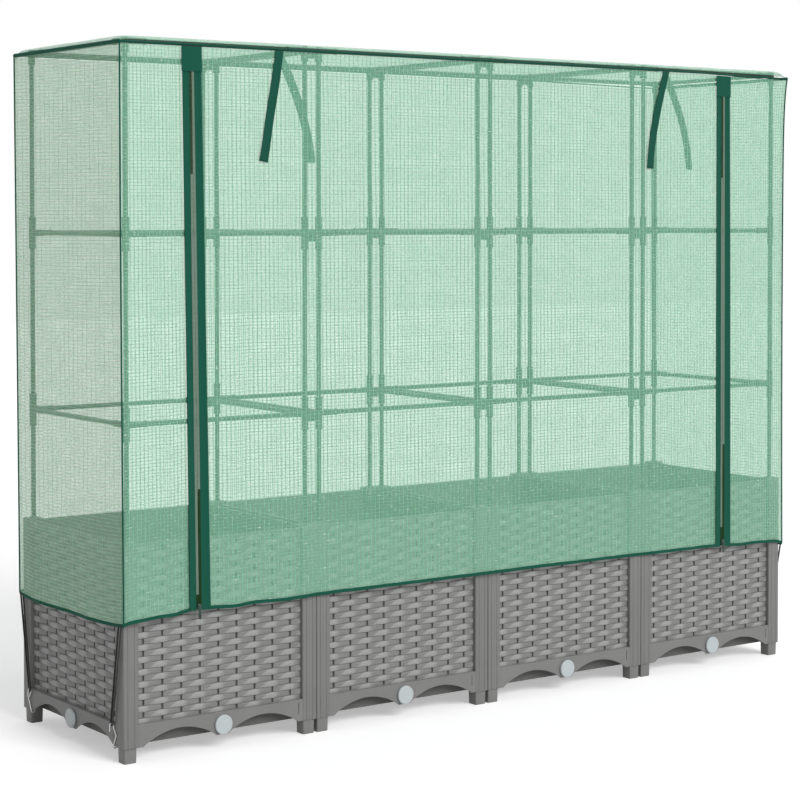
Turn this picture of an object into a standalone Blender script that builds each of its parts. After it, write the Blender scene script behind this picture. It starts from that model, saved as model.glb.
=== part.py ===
"""Covered raised planter: four square planter boxes in a row under one film cover on a tube frame.

Metres, +Z up. The origin is at the middle of the row, on the ground; the front faces -Y and the row
runs along X. Every box is built about its own centre from one corner and one side, turned in quarters.
"""
import math

import bmesh
import bpy
from mathutils import Matrix, Vector

# Boxes
BOX_COUNT = 4
BOX_SIZE = 0.3994
BOX_GAP = 0.0006
FIT = 0.0003
FOOT_SIZE = 0.0245
FOOT_HEIGHT = 0.0265
FOOT_INSET = 0.00275
FOOT_TAPER = 0.94
MOULD_LAP = 0.002
MOULD_STEP = 0.0005
CUT_LAP = 0.001
POST_SIZE = 0.030
POST_HEIGHT = 0.3595
PANEL_DROP = 0.004
PANEL_RECESS = 0.010
PANEL_THICKNESS = 0.004
TONGUE_LENGTH = 0.004
RAIL_HEIGHT = 0.0405
RAIL_WALL = 0.004
LEDGE_THICKNESS = 0.004
LEDGE_DEPTH = 0.0085
ARCH_MARGIN = 0.010
ARCH_POST = 0.026
ARCH_HEIGHT = 0.0245
ARCH_SIDES = 10
ARCH_SQUARENESS = 0.8
RIB_PITCH = 0.0432
RIB_DEPTH = 0.002
RIB_MARGIN = 0.006

# Trays and drain plugs
TRAY_WALL = 0.0025
TRAY_FLOOR_LIFT = 0.001
TRAY_CLEARANCE = 0.0007
PLUG_RADIUS = 0.0175
PLUG_PROUD = 0.005
PLUG_HEIGHT = 0.0445
SHANK_RADIUS = 0.007
SHANK_SPARE = 0.002
PLUG_ROUND = 0.0015
PLUG_SIDES = 12

# Tube frame
TUBE_RADIUS = 0.0044
TUBE_SIDES = 6
SOCKET_DEPTH = 0.022
SLEEVE_RADIUS = 0.0066
SLEEVE_LENGTH = 0.060
ARM_RADIUS = 0.0060
ARM_REACH = 0.040
SOCKET_FLOOR = 0.001
BRIDGE_THICKNESS = 0.005
BRIDGE_HEIGHT = 0.020
BRIDGE_RISE = 0.005
LOWER_LEVEL = 0.5905
MIDDLE_LEVEL = 0.9225
TOP_SLEEVE_LENGTH = 0.027

# Cover: each overhang is from the boxes' faces out to the film, at the roof's seam and at the hem
ROOF_OVERHANG_X = 0.0088
ROOF_OVERHANG_Y = 0.01005
HEM_OVERHANG_X = 0.00455
HEM_OVERHANG_Y = 0.00505
ROOF_EDGE_Z = 1.2545
ROOF_CROWN = 0.0125
ROOF_ROLL = 0.006
ROOF_EDGE_LINES = (0.0, 0.004, 0.009, 0.015, 0.024)
ROOF_STEPS_X = 8
ROOF_STEPS_Y = 3
HEM_FRONT_Z = 0.2560
HEM_CORNER_Z = 0.2405
HEM_END_Z = 0.2360
HEM_DECAY = 0.025
FILM = 0.0008
FOLD_DEPTH = 0.004
FOLD_STEPS = 4
STRIP_FOLDS = 1
END_FOLDS = 2
BACK_FOLDS = 6
DOOR_FOLDS = 5
WALL_ROWS = 4
PIPING_RADIUS = 0.0028
PIPING_CORNER = 0.004
PIPING_SIDES = 8
PIPING_STEPS = 2
SEAM_SIZE = 0.0024
BINDING_HEIGHT = 0.0060
BINDING_THICKNESS = 0.0020

# Zips, left and right; each inset is from the cover's end to the middle of the zip
ZIP_TOP_INSET = (0.1405, 0.1910)
ZIP_HEM_INSET = (0.15225, 0.17925)
TAPE_WIDTH = 0.0165
TAPE_PROUD = 0.0004
COIL_WIDTH = 0.0028
COIL_PROUD = 0.0010
TAPE_THICKNESS = 0.0016
PATCH_LENGTH = 0.044
PATCH_WIDTH = 0.041
PATCH_THICKNESS = 0.0008
SLIDER_WIDTH = 0.0090
SLIDER_LENGTH = 0.0120
SLIDER_THICKNESS = 0.0022
SLIDER_SHOULDER = 0.6
SLIDER_WAIST = 0.3
SLIDER_NOSE = 0.5
SLIDER_CROWN = 0.8
PULL_WIDTH = 0.0050
PULL_LENGTH = 0.0230
PULL_THICKNESS = 0.0010

# Ribbons, left and right; each inset is from the middle of the zip to the ribbon at the seam
RIBBON_INSET = (0.1815, 0.1635)
RIBBON_WIDTH = 0.0175
RIBBON_LENGTH = 0.200
RIBBON_THICKNESS = 0.0006
RIBBON_STANDOFF = 0.0006
RIBBON_STEPS = 8
OUTER_RIBBON_SWING = (-0.034, -0.043)
INNER_RIBBON_SWING = (0.072, 0.071)
OUTER_RIBBON_CURVE = (1.0, 1.55)
INNER_RIBBON_CURVE = (1.55, 1.55)

# Elastic cords and their hooks
CORD_RADIUS = 0.00175
CORD_SPREAD = 0.0066
CORD_TOP_SPREAD = 0.010
CORD_INSET = 0.004
CORD_BEND_STEPS = 6
HOOK_RADIUS = 0.0011
HOOK_EYE_Z = 0.0640
HOOK_EYE_RADIUS = 0.0033
HOOK_EYE_START = -20
HOOK_EYE_SWEEP = 280
HOOK_NECK = 0.0099
HOOK_INSET = 0.036
HOOK_TIP = 0.007
HOOK_EYE_STEPS = 6
HOOK_BEND_STEPS = 5

# Worked out from the sizes above
PITCH = BOX_SIZE + BOX_GAP
HALF_BOX = BOX_SIZE / 2
POST_TOP = FOOT_HEIGHT + POST_HEIGHT
PANEL_TOP = POST_TOP - PANEL_DROP
RAIL_TOP = FOOT_HEIGHT + RAIL_HEIGHT
PLATE_BACK = PANEL_RECESS + PANEL_THICKNESS
LEDGE_EDGE = PLATE_BACK + LEDGE_DEPTH
RAIL_HALF = HALF_BOX - POST_SIZE - FIT
TUBE_OFFSET = HALF_BOX - POST_SIZE / 2
BORE_RADIUS = TUBE_RADIUS + FIT
POST_BORE_RADIUS = BORE_RADIUS / math.cos(math.pi / TUBE_SIDES)
ROW_HALF = ((BOX_COUNT - 1) * PITCH + BOX_SIZE) / 2
ROOF_LENGTH = 2 * (ROW_HALF + ROOF_OVERHANG_X)
ROOF_WIDTH = 2 * (HALF_BOX + ROOF_OVERHANG_Y)
HEM_LENGTH = 2 * (ROW_HALF + HEM_OVERHANG_X)
HEM_WIDTH = 2 * (HALF_BOX + HEM_OVERHANG_Y)
WALL_TOP_Z = ROOF_EDGE_Z - PIPING_RADIUS - FIT
ZIP_TOP_X = (ZIP_TOP_INSET[0] - ROOF_LENGTH / 2, ROOF_LENGTH / 2 - ZIP_TOP_INSET[1])
ZIP_HEM_X = (ZIP_HEM_INSET[0] - HEM_LENGTH / 2, HEM_LENGTH / 2 - ZIP_HEM_INSET[1])
TAPE_SIDE = COIL_WIDTH + TAPE_WIDTH + FIT
RIBBON_X = (ZIP_TOP_X[0] + RIBBON_INSET[0], ZIP_TOP_X[1] - RIBBON_INSET[1])


def roof_roll(distance):
    """How much of the crown's height the roof has at a distance in from its edge."""
    return 1.0 - math.exp(-distance / ROOF_ROLL)


def frame_inset(roof_size, row_size):
    """From the roof's edge to the outer side of the corner connector."""
    return (roof_size - row_size) / 2 + POST_SIZE / 2 - SLEEVE_RADIUS


CORNER_INSET_X = frame_inset(ROOF_LENGTH, 2 * ROW_HALF)
CORNER_INSET_Y = frame_inset(ROOF_WIDTH, BOX_SIZE)
ROOF_AT_CORNER = ROOF_EDGE_Z + ROOF_CROWN * roof_roll(CORNER_INSET_X) * roof_roll(CORNER_INSET_Y)
TOP_LEVEL = ROOF_AT_CORNER - FILM - 2 * FIT - SLEEVE_RADIUS


def clear_scene():
    for old in list(bpy.data.objects):
        bpy.data.objects.remove(old, do_unlink=True)


def make_material(name, colour, roughness, metallic=0.0, alpha=1.0):
    material = bpy.data.materials.new(name)
    material.use_nodes = True
    shader = material.node_tree.nodes["Principled BSDF"]
    shader.inputs["Base Color"].default_value = (*colour, 1.0)
    shader.inputs["Roughness"].default_value = roughness
    shader.inputs["Metallic"].default_value = metallic
    shader.inputs["Alpha"].default_value = alpha
    return material


def mesh_of(name, solids):
    """One mesh from a list of closed solids, each a pair of corner points and faces."""
    shape = bmesh.new()
    for points, faces in solids:
        corners = [shape.verts.new(point) for point in points]
        for face in faces:
            shape.faces.new([corners[i] for i in face])
    bmesh.ops.recalc_face_normals(shape, faces=shape.faces)
    mesh = bpy.data.meshes.new(name)
    shape.to_mesh(mesh)
    shape.free()
    return mesh


def add_object(name, mesh, material=None, place=None):
    thing = bpy.data.objects.new(name, mesh)
    bpy.context.scene.collection.objects.link(thing)
    if place is not None:
        thing.matrix_world = place
    if material is not None:
        mesh.materials.clear()
        mesh.materials.append(material)
    return thing


def loft(rings):
    """A closed solid through rings of equally many points, capped at both ends."""
    count = len(rings[0])
    points = [point for ring in rings for point in ring]
    faces = []
    for step in range(len(rings) - 1):
        for i in range(count):
            j = (i + 1) % count
            low = step * count
            faces.append((low + i, low + j, low + count + j, low + count + i))
    faces.append(tuple(range(count - 1, -1, -1)))
    last = (len(rings) - 1) * count
    faces.append(tuple(last + i for i in range(count)))
    return points, faces


def block(low, high):
    """A rectangular block from its lowest corner to its highest."""
    ring = [(low[0], low[1]), (high[0], low[1]), (high[0], high[1]), (low[0], high[1])]
    return loft([[Vector((x, y, z)) for x, y in ring] for z in (low[2], high[2])])


def rod(start, end, radius, sides=TUBE_SIDES):
    """A round rod between two points, with a flat of its section facing up or out."""
    start = Vector(start)
    end = Vector(end)
    along = (end - start).normalized()
    guide = Vector((1, 0, 0)) if abs(along.z) > abs(along.x) else Vector((0, 0, 1))
    side = along.cross(guide).normalized()
    other = along.cross(side)
    turns = [2 * math.pi * (i + 0.5) / sides for i in range(sides)]
    ring = [radius * (math.cos(t) * side + math.sin(t) * other) for t in turns]
    return loft([[start + offset for offset in ring], [end + offset for offset in ring]])


def moved(solid, matrix):
    points, faces = solid
    return [matrix @ Vector(point) for point in points], faces


def combined(name, base, steps):
    """The base mesh joined with or cut by other meshes, as (operation, mesh) steps."""
    body = add_object(name, base)
    helpers = []
    for operation, mesh in steps:
        tool = add_object(mesh.name, mesh)
        tool.hide_render = True
        tool.display_type = "WIRE"
        change = body.modifiers.new(operation.title(), "BOOLEAN")
        change.operation = operation
        change.solver = "EXACT"
        change.object = tool
        helpers.append(tool)
    bpy.context.view_layer.update()
    result = bpy.data.meshes.new_from_object(body.evaluated_get(bpy.context.evaluated_depsgraph_get()))
    result.name = name
    for helper in [body] + helpers:
        bpy.data.objects.remove(helper, do_unlink=True)
    return result


def quarter(turns):
    return Matrix.Rotation(turns * math.pi / 2, 4, "Z")


def box_centre(index):
    return (index - (BOX_COUNT - 1) / 2) * PITCH


def at_box(index, turns=0):
    return Matrix.Translation((box_centre(index), 0, 0)) @ quarter(turns)


# Boxes

def panel_solid():
    """The front panel about the box's centre: rail, ledge and ribbed plate, from its post to its tongue."""
    profile = [
        (MOULD_STEP, FOOT_HEIGHT + MOULD_STEP),
        (RAIL_WALL, FOOT_HEIGHT + MOULD_STEP),
        (RAIL_WALL, RAIL_TOP - LEDGE_THICKNESS),
        (LEDGE_EDGE, RAIL_TOP - LEDGE_THICKNESS),
        (LEDGE_EDGE, RAIL_TOP),
        (PLATE_BACK, RAIL_TOP),
        (PLATE_BACK, PANEL_TOP),
        (PANEL_RECESS, PANEL_TOP),
    ]
    rib_count = int((PANEL_TOP - RAIL_TOP - 2 * RIB_MARGIN) / RIB_PITCH)
    first_rib = (PANEL_TOP + RAIL_TOP + rib_count * RIB_PITCH) / 2
    for rib in range(rib_count):
        top = first_rib - rib * RIB_PITCH
        profile.append((PANEL_RECESS, top))
        profile.append((PANEL_RECESS - RIB_DEPTH, top - RIB_PITCH / 2))
    profile.append((PANEL_RECESS, first_rib - rib_count * RIB_PITCH))
    profile.append((PANEL_RECESS, RAIL_TOP))
    profile.append((MOULD_STEP, RAIL_TOP))
    ends = (-HALF_BOX + POST_SIZE - MOULD_LAP, RAIL_HALF + TONGUE_LENGTH)
    return loft([[Vector((x, depth - HALF_BOX, z)) for depth, z in profile] for x in ends])


def post_solid():
    """The front left post: a square column with a slot for the left panel's tongue."""
    corner = -HALF_BOX
    inner = corner + POST_SIZE
    slot_low = corner + PANEL_RECESS
    slot_high = corner + PLATE_BACK + FIT
    slot_end = inner - TONGUE_LENGTH - 2 * FIT
    outline = [
        (corner, corner), (inner, corner), (inner, inner), (slot_high, inner),
        (slot_high, slot_end), (slot_low, slot_end), (slot_low, inner), (corner, inner),
    ]
    return loft([[Vector((x, y, z)) for x, y in outline] for z in (FOOT_HEIGHT, POST_TOP)])


def foot_solid():
    """The foot under the front left post, narrowed a little at the ground."""
    centre = -HALF_BOX + FOOT_INSET + FOOT_SIZE / 2
    rings = []
    for half, z in ((FOOT_SIZE / 2 * FOOT_TAPER, 0.0), (FOOT_SIZE / 2, FOOT_HEIGHT + MOULD_LAP)):
        corners = ((-1, -1), (1, -1), (1, 1), (-1, 1))
        rings.append([Vector((centre + x * half, centre + y * half, z)) for x, y in corners])
    return loft(rings)


def side_mesh(kind):
    """One side of a box in one moulding: post, foot and panel. Kinds: plugged, blank disc or plain."""
    cuts = [rod((-TUBE_OFFSET, -TUBE_OFFSET, POST_TOP - SOCKET_DEPTH),
                (-TUBE_OFFSET, -TUBE_OFFSET, POST_TOP + MOULD_LAP), POST_BORE_RADIUS)]
    cuts.append(end_cut(RAIL_HALF, RAIL_HALF + TONGUE_LENGTH + MOULD_LAP))
    arch_width = RAIL_HALF - ARCH_MARGIN - ARCH_POST / 2
    below = FOOT_HEIGHT - MOULD_LAP
    for side in (-1, 1):
        middle = side * (ARCH_POST + arch_width) / 2
        outline = [(middle + arch_width / 2, below)]
        for step in range(ARCH_SIDES + 1):
            share = step / ARCH_SIDES
            rise = ARCH_HEIGHT * max(math.sin(math.pi * share), 0.0) ** ARCH_SQUARENESS
            outline.append((middle + arch_width * (0.5 - share), FOOT_HEIGHT + rise))
        outline.append((middle - arch_width / 2, below))
        depths = (-HALF_BOX - MOULD_LAP, -HALF_BOX + RAIL_WALL + MOULD_LAP)
        cuts.append(loft([[Vector((x, y, z)) for x, z in outline] for y in depths]))
    if kind == "plugged":
        cuts.append(plug_hole(-MOULD_LAP, RAIL_WALL + MOULD_LAP))
    steps = [
        ("UNION", mesh_of("side_panel", [panel_solid()])),
        ("UNION", mesh_of("side_foot", [foot_solid()])),
        ("DIFFERENCE", mesh_of("side_cuts", cuts)),
    ]
    if kind == "disc":
        disc = rod((0, -HALF_BOX - PLUG_PROUD, PLUG_HEIGHT), (0, -HALF_BOX + RAIL_WALL / 2, PLUG_HEIGHT),
                   PLUG_RADIUS, PLUG_SIDES)
        steps.append(("UNION", mesh_of("side_disc", [disc])))
    return combined(f"side_{kind}", mesh_of("side_post", [post_solid()]), steps)


def end_cut(start, end):
    """What is cut off a panel's end, so that only its plate reaches into the next post's slot."""
    below = FOOT_HEIGHT - MOULD_LAP
    above = PANEL_TOP + MOULD_LAP
    front = -MOULD_LAP
    back = LEDGE_EDGE + MOULD_LAP
    plate = PANEL_RECESS + FIT
    outline = [(front, below), (back, below), (back, RAIL_TOP + FIT), (plate, RAIL_TOP + FIT),
               (plate, above), (front, above)]
    return loft([[Vector((x, depth - HALF_BOX, z)) for depth, z in outline] for x in (start, end)])


def plug_hole(start, end):
    """The hole for a plug's shank in the front side, from one depth to another."""
    low = (0, -HALF_BOX + start, PLUG_HEIGHT)
    high = (0, -HALF_BOX + end, PLUG_HEIGHT)
    return rod(low, high, SHANK_RADIUS + FIT, PLUG_SIDES)


def tray_mesh(sides):
    """A pan with notched corners and a flange that rests on the panels' ledges."""

    def notched(edge, notch, z):
        ring = []
        for turns in range(4):
            turn = quarter(turns)
            for x, y in ((-notch, -edge), (notch, -edge), (notch, -notch)):
                ring.append(turn @ Vector((x, y, z)))
        return ring

    flange_edge = HALF_BOX - PLATE_BACK - TRAY_CLEARANCE
    flange_notch = HALF_BOX - POST_SIZE - TRAY_CLEARANCE
    wall_edge = HALF_BOX - LEDGE_EDGE - TRAY_CLEARANCE
    wall_notch = flange_notch - TRAY_WALL
    inner_edge = wall_edge - TRAY_WALL
    inner_notch = wall_notch - TRAY_WALL
    bottom = FOOT_HEIGHT + TRAY_FLOOR_LIFT
    flange_z = RAIL_TOP + FIT
    rings = [
        notched(wall_edge, wall_notch, bottom),
        notched(wall_edge, wall_notch, flange_z),
        notched(flange_edge, flange_notch, flange_z),
        notched(flange_edge, flange_notch, flange_z + TRAY_WALL),
        notched(inner_edge, inner_notch, flange_z + TRAY_WALL),
        notched(inner_edge, inner_notch, bottom + TRAY_WALL),
    ]
    wall = LEDGE_EDGE + TRAY_CLEARANCE
    hole = plug_hole(wall - CUT_LAP, wall + TRAY_WALL + CUT_LAP)
    holes = [moved(hole, quarter(turns)) for turns in sides]
    base = mesh_of("tray_base", [loft(rings)])
    return combined("tray", base, [("DIFFERENCE", mesh_of("tray_holes", holes))])


def plug_mesh():
    """A drain plug facing -Y: a disc with a rounded rim on a plain shank; origin on the box's face."""
    shank_end = LEDGE_EDGE + TRAY_CLEARANCE + TRAY_WALL + SHANK_SPARE
    profile = [
        (PLUG_RADIUS - PLUG_ROUND, -PLUG_PROUD),
        (PLUG_RADIUS, -PLUG_PROUD + PLUG_ROUND),
        (PLUG_RADIUS, -FIT),
        (SHANK_RADIUS, -FIT),
        (SHANK_RADIUS, shank_end),
    ]
    rings = []
    for radius, y in profile:
        turns = [2 * math.pi * (i + 0.5) / PLUG_SIDES for i in range(PLUG_SIDES)]
        rings.append([Vector((radius * math.cos(t), y, radius * math.sin(t))) for t in turns])
    return mesh_of("plug", [loft(rings)])


def build_boxes(body, dark, plug_grey):
    plugged = side_mesh("plugged")
    disc = side_mesh("disc")
    plain = side_mesh("plain")
    last = BOX_COUNT - 1
    for index in range(BOX_COUNT):
        add_object(f"front_panel_{index + 1}", plugged, body, at_box(index, 0))
        add_object(f"back_panel_{index + 1}", disc, body, at_box(index, 2))
    add_object("left_end_panel", plugged, body, at_box(0, 3))
    add_object("right_end_panel", plugged, body, at_box(last, 1))
    for index in range(last):
        add_object(f"inner_panel_{2 * index + 1}", plain, body, at_box(index, 1))
        add_object(f"inner_panel_{2 * index + 2}", plain, body, at_box(index + 1, 3))

    sides = {index: [0] for index in range(BOX_COUNT)}
    sides[0].append(3)
    sides[last].append(1)
    plug = plug_mesh()
    seat = Matrix.Translation((0, -HALF_BOX, PLUG_HEIGHT))
    for index in range(BOX_COUNT):
        add_object(f"base_tray_{index + 1}", tray_mesh(sides[index]), dark, at_box(index))
        for turns in sides[index]:
            label = {0: f"front_{index + 1}", 1: "right_end", 3: "left_end"}[turns]
            add_object(f"drain_plug_{label}", plug, plug_grey, at_box(index, turns) @ seat)


# Tube frame

def tube_places():
    """Each upright's place, over the middle of its post."""
    places = []
    for index in range(BOX_COUNT):
        for side in (-1, 1):
            for face in (-1, 1):
                places.append((box_centre(index) + side * TUBE_OFFSET, face * TUBE_OFFSET))
    return places


def upright_solid(x, y, start, level, low, high, closed):
    """A tube with its sleeve in one: the sleeve's open top is a socket for the tube above."""
    rings = [(TUBE_RADIUS, start), (TUBE_RADIUS, low), (SLEEVE_RADIUS, low), (SLEEVE_RADIUS, high)]
    if not closed:
        rings += [(BORE_RADIUS, high), (BORE_RADIUS, level + ARM_RADIUS + SOCKET_FLOOR)]
    turns = [2 * math.pi * (i + 0.5) / TUBE_SIDES for i in range(TUBE_SIDES)]
    return loft([[Vector((x + r * math.cos(t), y + r * math.sin(t), z)) for t in turns] for r, z in rings])


def run_solid(start, end):
    """A level tube between two sleeves with the connectors' thicker arms on its ends."""
    start = Vector(start)
    end = Vector(end)
    along = (end - start).normalized()
    side = along.cross(Vector((0, 0, 1)))
    turns = [2 * math.pi * (i + 0.5) / TUBE_SIDES for i in range(TUBE_SIDES)]
    rings = []
    near = start + ARM_REACH * along
    far = end - ARM_REACH * along
    stops = ((start, ARM_RADIUS), (near, ARM_RADIUS), (near, TUBE_RADIUS),
             (far, TUBE_RADIUS), (far, ARM_RADIUS), (end, ARM_RADIUS))
    up = Vector((0, 0, 1))
    for middle, radius in stops:
        rings.append([middle + radius * (math.cos(t) * side + math.sin(t) * up) for t in turns])
    return loft(rings)


def frame_mesh(name, start, level, low, high, closed):
    """One storey of the frame: uprights with their sleeves, level tubes, and bridges between boxes."""
    uprights = [upright_solid(x, y, start, level, low, high, closed) for x, y in tube_places()]
    x_runs = []
    y_runs = []
    for index in range(BOX_COUNT):
        left = box_centre(index) - TUBE_OFFSET
        right = box_centre(index) + TUBE_OFFSET
        for y in (-TUBE_OFFSET, TUBE_OFFSET):
            x_runs.append(run_solid((left, y, level), (right, y, level)))
        for x in (left, right):
            y_runs.append(run_solid((x, -TUBE_OFFSET, level), (x, TUBE_OFFSET, level)))
    reach = PITCH / 2 - TUBE_OFFSET - TUBE_RADIUS
    for index in range(BOX_COUNT - 1):
        middle = box_centre(index) + PITCH / 2
        for y in (-TUBE_OFFSET, TUBE_OFFSET):
            half = BRIDGE_THICKNESS / 2
            top = level + BRIDGE_RISE
            low = (middle - reach, y - half, top - BRIDGE_HEIGHT)
            x_runs.append(block(low, (middle + reach, y + half, top)))
    steps = [("UNION", mesh_of(f"{name}_x_runs", x_runs)), ("UNION", mesh_of(f"{name}_y_runs", y_runs))]
    return combined(name, mesh_of(f"{name}_uprights", uprights), steps)


def build_frame(tube_green):
    start = POST_TOP - SOCKET_DEPTH + FIT
    half = SLEEVE_LENGTH / 2
    for name, level in (("lower_frame", LOWER_LEVEL), ("middle_frame", MIDDLE_LEVEL)):
        add_object(name, frame_mesh(name, start, level, level - half, level + half, False), tube_green)
        start = level + ARM_RADIUS + SOCKET_FLOOR + FIT
    low = TOP_LEVEL + SLEEVE_RADIUS - TOP_SLEEVE_LENGTH
    mesh = frame_mesh("top_frame", start, TOP_LEVEL, low, TOP_LEVEL + SLEEVE_RADIUS, True)
    add_object("top_frame", mesh, tube_green)


# Cover

def hem_z(side, along):
    """Height of the hem's lower edge; along is the distance in from the nearest corner."""
    middle = HEM_FRONT_Z if side in ("front", "back") else HEM_END_Z
    return middle - (middle - HEM_CORNER_Z) * math.exp(-max(along, 0.0) / HEM_DECAY)


def wall_point(side, along, z, out=0.0, fold=0.0):
    """A point of a wall: along runs left to right seen from outside, out is the distance outwards."""
    drop = (ROOF_EDGE_Z - z) / (ROOF_EDGE_Z - HEM_CORNER_Z)
    half_length = (ROOF_LENGTH + (HEM_LENGTH - ROOF_LENGTH) * drop) / 2
    half_width = (ROOF_WIDTH + (HEM_WIDTH - ROOF_WIDTH) * drop) / 2
    away = out + fold * max(drop, 0.0)
    if side == "front":
        return Vector((along, -half_width - away, z))
    if side == "back":
        return Vector((-along, half_width + away, z))
    if side == "left":
        return Vector((-half_length - away, -along, z))
    return Vector((half_length + away, along, z))


def half_run(side, z):
    """Half the width of a wall at a height."""
    drop = (ROOF_EDGE_Z - z) / (ROOF_EDGE_Z - HEM_CORNER_Z)
    if side in ("front", "back"):
        return (ROOF_LENGTH + (HEM_LENGTH - ROOF_LENGTH) * drop) / 2
    return (ROOF_WIDTH + (HEM_WIDTH - ROOF_WIDTH) * drop) / 2


def zip_x(which, z):
    """The middle of a zip at a height."""
    drop = (ROOF_EDGE_Z - z) / (ROOF_EDGE_Z - HEM_FRONT_Z)
    return ZIP_TOP_X[which] + (ZIP_HEM_X[which] - ZIP_TOP_X[which]) * drop


def fold_at(share, folds):
    """Folds of a hanging wall: none at its side edges, then one swell after another."""
    return FOLD_DEPTH * math.sin(math.pi * folds * share) ** 2


def grid_solid(outer, inner):
    """A closed thin solid between two grids of points."""
    rows = len(outer)
    columns = len(outer[0])
    points = [p for row in outer for p in row] + [p for row in inner for p in row]
    below = rows * columns
    faces = []
    for r in range(rows - 1):
        for c in range(columns - 1):
            a = r * columns + c
            quad = (a, a + 1, a + columns + 1, a + columns)
            faces.append(quad)
            faces.append(tuple(below + i for i in reversed(quad)))
    rim = [c for c in range(columns)]
    rim += [r * columns + columns - 1 for r in range(1, rows)]
    rim += [(rows - 1) * columns + c for c in range(columns - 2, -1, -1)]
    rim += [r * columns for r in range(rows - 2, 0, -1)]
    for i, a in enumerate(rim):
        b = rim[(i + 1) % len(rim)]
        faces.append((b, a, below + a, below + b))
    return points, faces


def wall_strip(side, left, right, columns, folds):
    """A piece of a wall from the roof's seam down to the hem; left and right give its edges at a height."""
    faces = []
    for out in (0.0, -FILM):
        grid = []
        for r in range(WALL_ROWS + 1):
            line = []
            for c in range(columns + 1):
                share = c / columns
                low_along = left(HEM_FRONT_Z) + (right(HEM_FRONT_Z) - left(HEM_FRONT_Z)) * share
                low = hem_z(side, corner_distance(side, low_along)) + BINDING_HEIGHT + FIT
                z = WALL_TOP_Z + (low - WALL_TOP_Z) * r / WALL_ROWS
                along = left(z) + (right(z) - left(z)) * share
                line.append(wall_point(side, along, z, out, fold_at(share, folds)))
            grid.append(line)
        faces.append(grid)
    return grid_solid(faces[0], faces[1])


def corner_distance(side, along):
    return half_run(side, HEM_FRONT_Z) - abs(along)


def corner_edge(side, sign):
    """A wall's edge beside a corner seam."""
    return lambda z: sign * (half_run(side, z) - SEAM_SIZE / 2 - FIT)


def zip_edge(which, sign, distance):
    return lambda z: zip_x(which, z) + sign * distance


def roof_mesh():
    """The roof: a flat sheet that rolls down to the seam along its edges."""
    inset = PIPING_RADIUS + FIT

    def lines(length, spaces):
        half = length / 2 - inset
        edge = [-half + step for step in ROOF_EDGE_LINES]
        inner = half - ROOF_EDGE_LINES[-1]
        middle = [-inner + 2 * inner * i / spaces for i in range(1, spaces)]
        return edge + middle + [-value for value in reversed(edge)]

    def sheet(down):
        rows = []
        for y in lines(ROOF_WIDTH, ROOF_STEPS_Y):
            row = []
            for x in lines(ROOF_LENGTH, ROOF_STEPS_X):
                roll = roof_roll(ROOF_LENGTH / 2 - abs(x)) * roof_roll(ROOF_WIDTH / 2 - abs(y))
                row.append(Vector((x, y, ROOF_EDGE_Z + ROOF_CROWN * roll - down)))
            rows.append(row)
        return rows

    return mesh_of("cover_roof", [grid_solid(sheet(0.0), sheet(FILM))])


def piping_mesh():
    """The seam cord round the roof's edge, one closed ring with round corners."""
    half_x = ROOF_LENGTH / 2
    half_y = ROOF_WIDTH / 2
    sides = PIPING_SIDES
    steps = PIPING_STEPS
    path = []
    for turn in range(4):
        to_x = (1, -1, -1, 1)[turn]
        to_y = (1, 1, -1, -1)[turn]
        for step in range(steps + 1):
            angle = (turn + step / steps) * math.pi / 2
            middle = Vector((to_x * (half_x - PIPING_CORNER), to_y * (half_y - PIPING_CORNER), ROOF_EDGE_Z))
            outward = Vector((math.cos(angle), math.sin(angle), 0))
            path.append((middle + PIPING_CORNER * outward, outward))
    points = []
    for middle, outward in path:
        for i in range(sides):
            angle = 2 * math.pi * (i + 0.5) / sides
            lift = Vector((0, 0, math.sin(angle)))
            points.append(middle + PIPING_RADIUS * (math.cos(angle) * outward + lift))
    faces = []
    for p in range(len(path)):
        following = (p + 1) % len(path)
        for i in range(sides):
            j = (i + 1) % sides
            faces.append((p * sides + i, following * sides + i, following * sides + j, p * sides + j))
    ring = mesh_of("piping_ring", [(points, faces)])
    return combined("seam_piping", ring, [("UNION", mesh_of("corner_seams", seam_solids()))])


def seam_solids():
    """The four upright corner seams, square in section."""
    half = SEAM_SIZE / 2
    ring = ((-half, -half), (half, -half), (half, half), (-half, half))
    solids = []
    for to_x in (-1, 1):
        for to_y in (-1, 1):
            rings = []
            for z in (ROOF_EDGE_Z, HEM_CORNER_Z + BINDING_HEIGHT + SEAM_SIZE / 2):
                x = to_x * half_run("front", z)
                y = to_y * half_run("left", z)
                rings.append([Vector((x + a, y + b, z)) for a, b in ring])
            solids.append(loft(rings))
    return solids


def hem_ring(side, along, fold=0.0, corner=False):
    """A section of the hem binding; at a corner of the cover it is mitred with the next wall."""
    low = hem_z(side, corner_distance(side, along))
    ring = []
    outer = (BINDING_THICKNESS - FILM) / 2
    for out, rise in ((outer, 0.0), (outer, BINDING_HEIGHT), (outer - BINDING_THICKNESS, BINDING_HEIGHT),
                      (outer - BINDING_THICKNESS, 0.0)):
        if corner:
            z = HEM_CORNER_Z + rise
            ring.append(wall_point(side, half_run(side, z) + out, z, out))
        else:
            ring.append(wall_point(side, along, low + rise, out, fold))
    return ring


def hem_rings(side, left, right, columns, folds):
    """Sections of the binding along one wall, from its left edge to its right edge."""
    rings = []
    for c in range(columns + 1):
        share = c / columns
        along = left(HEM_FRONT_Z) + (right(HEM_FRONT_Z) - left(HEM_FRONT_Z)) * share
        rings.append(hem_ring(side, along, fold_at(share, folds)))
    return rings


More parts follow.
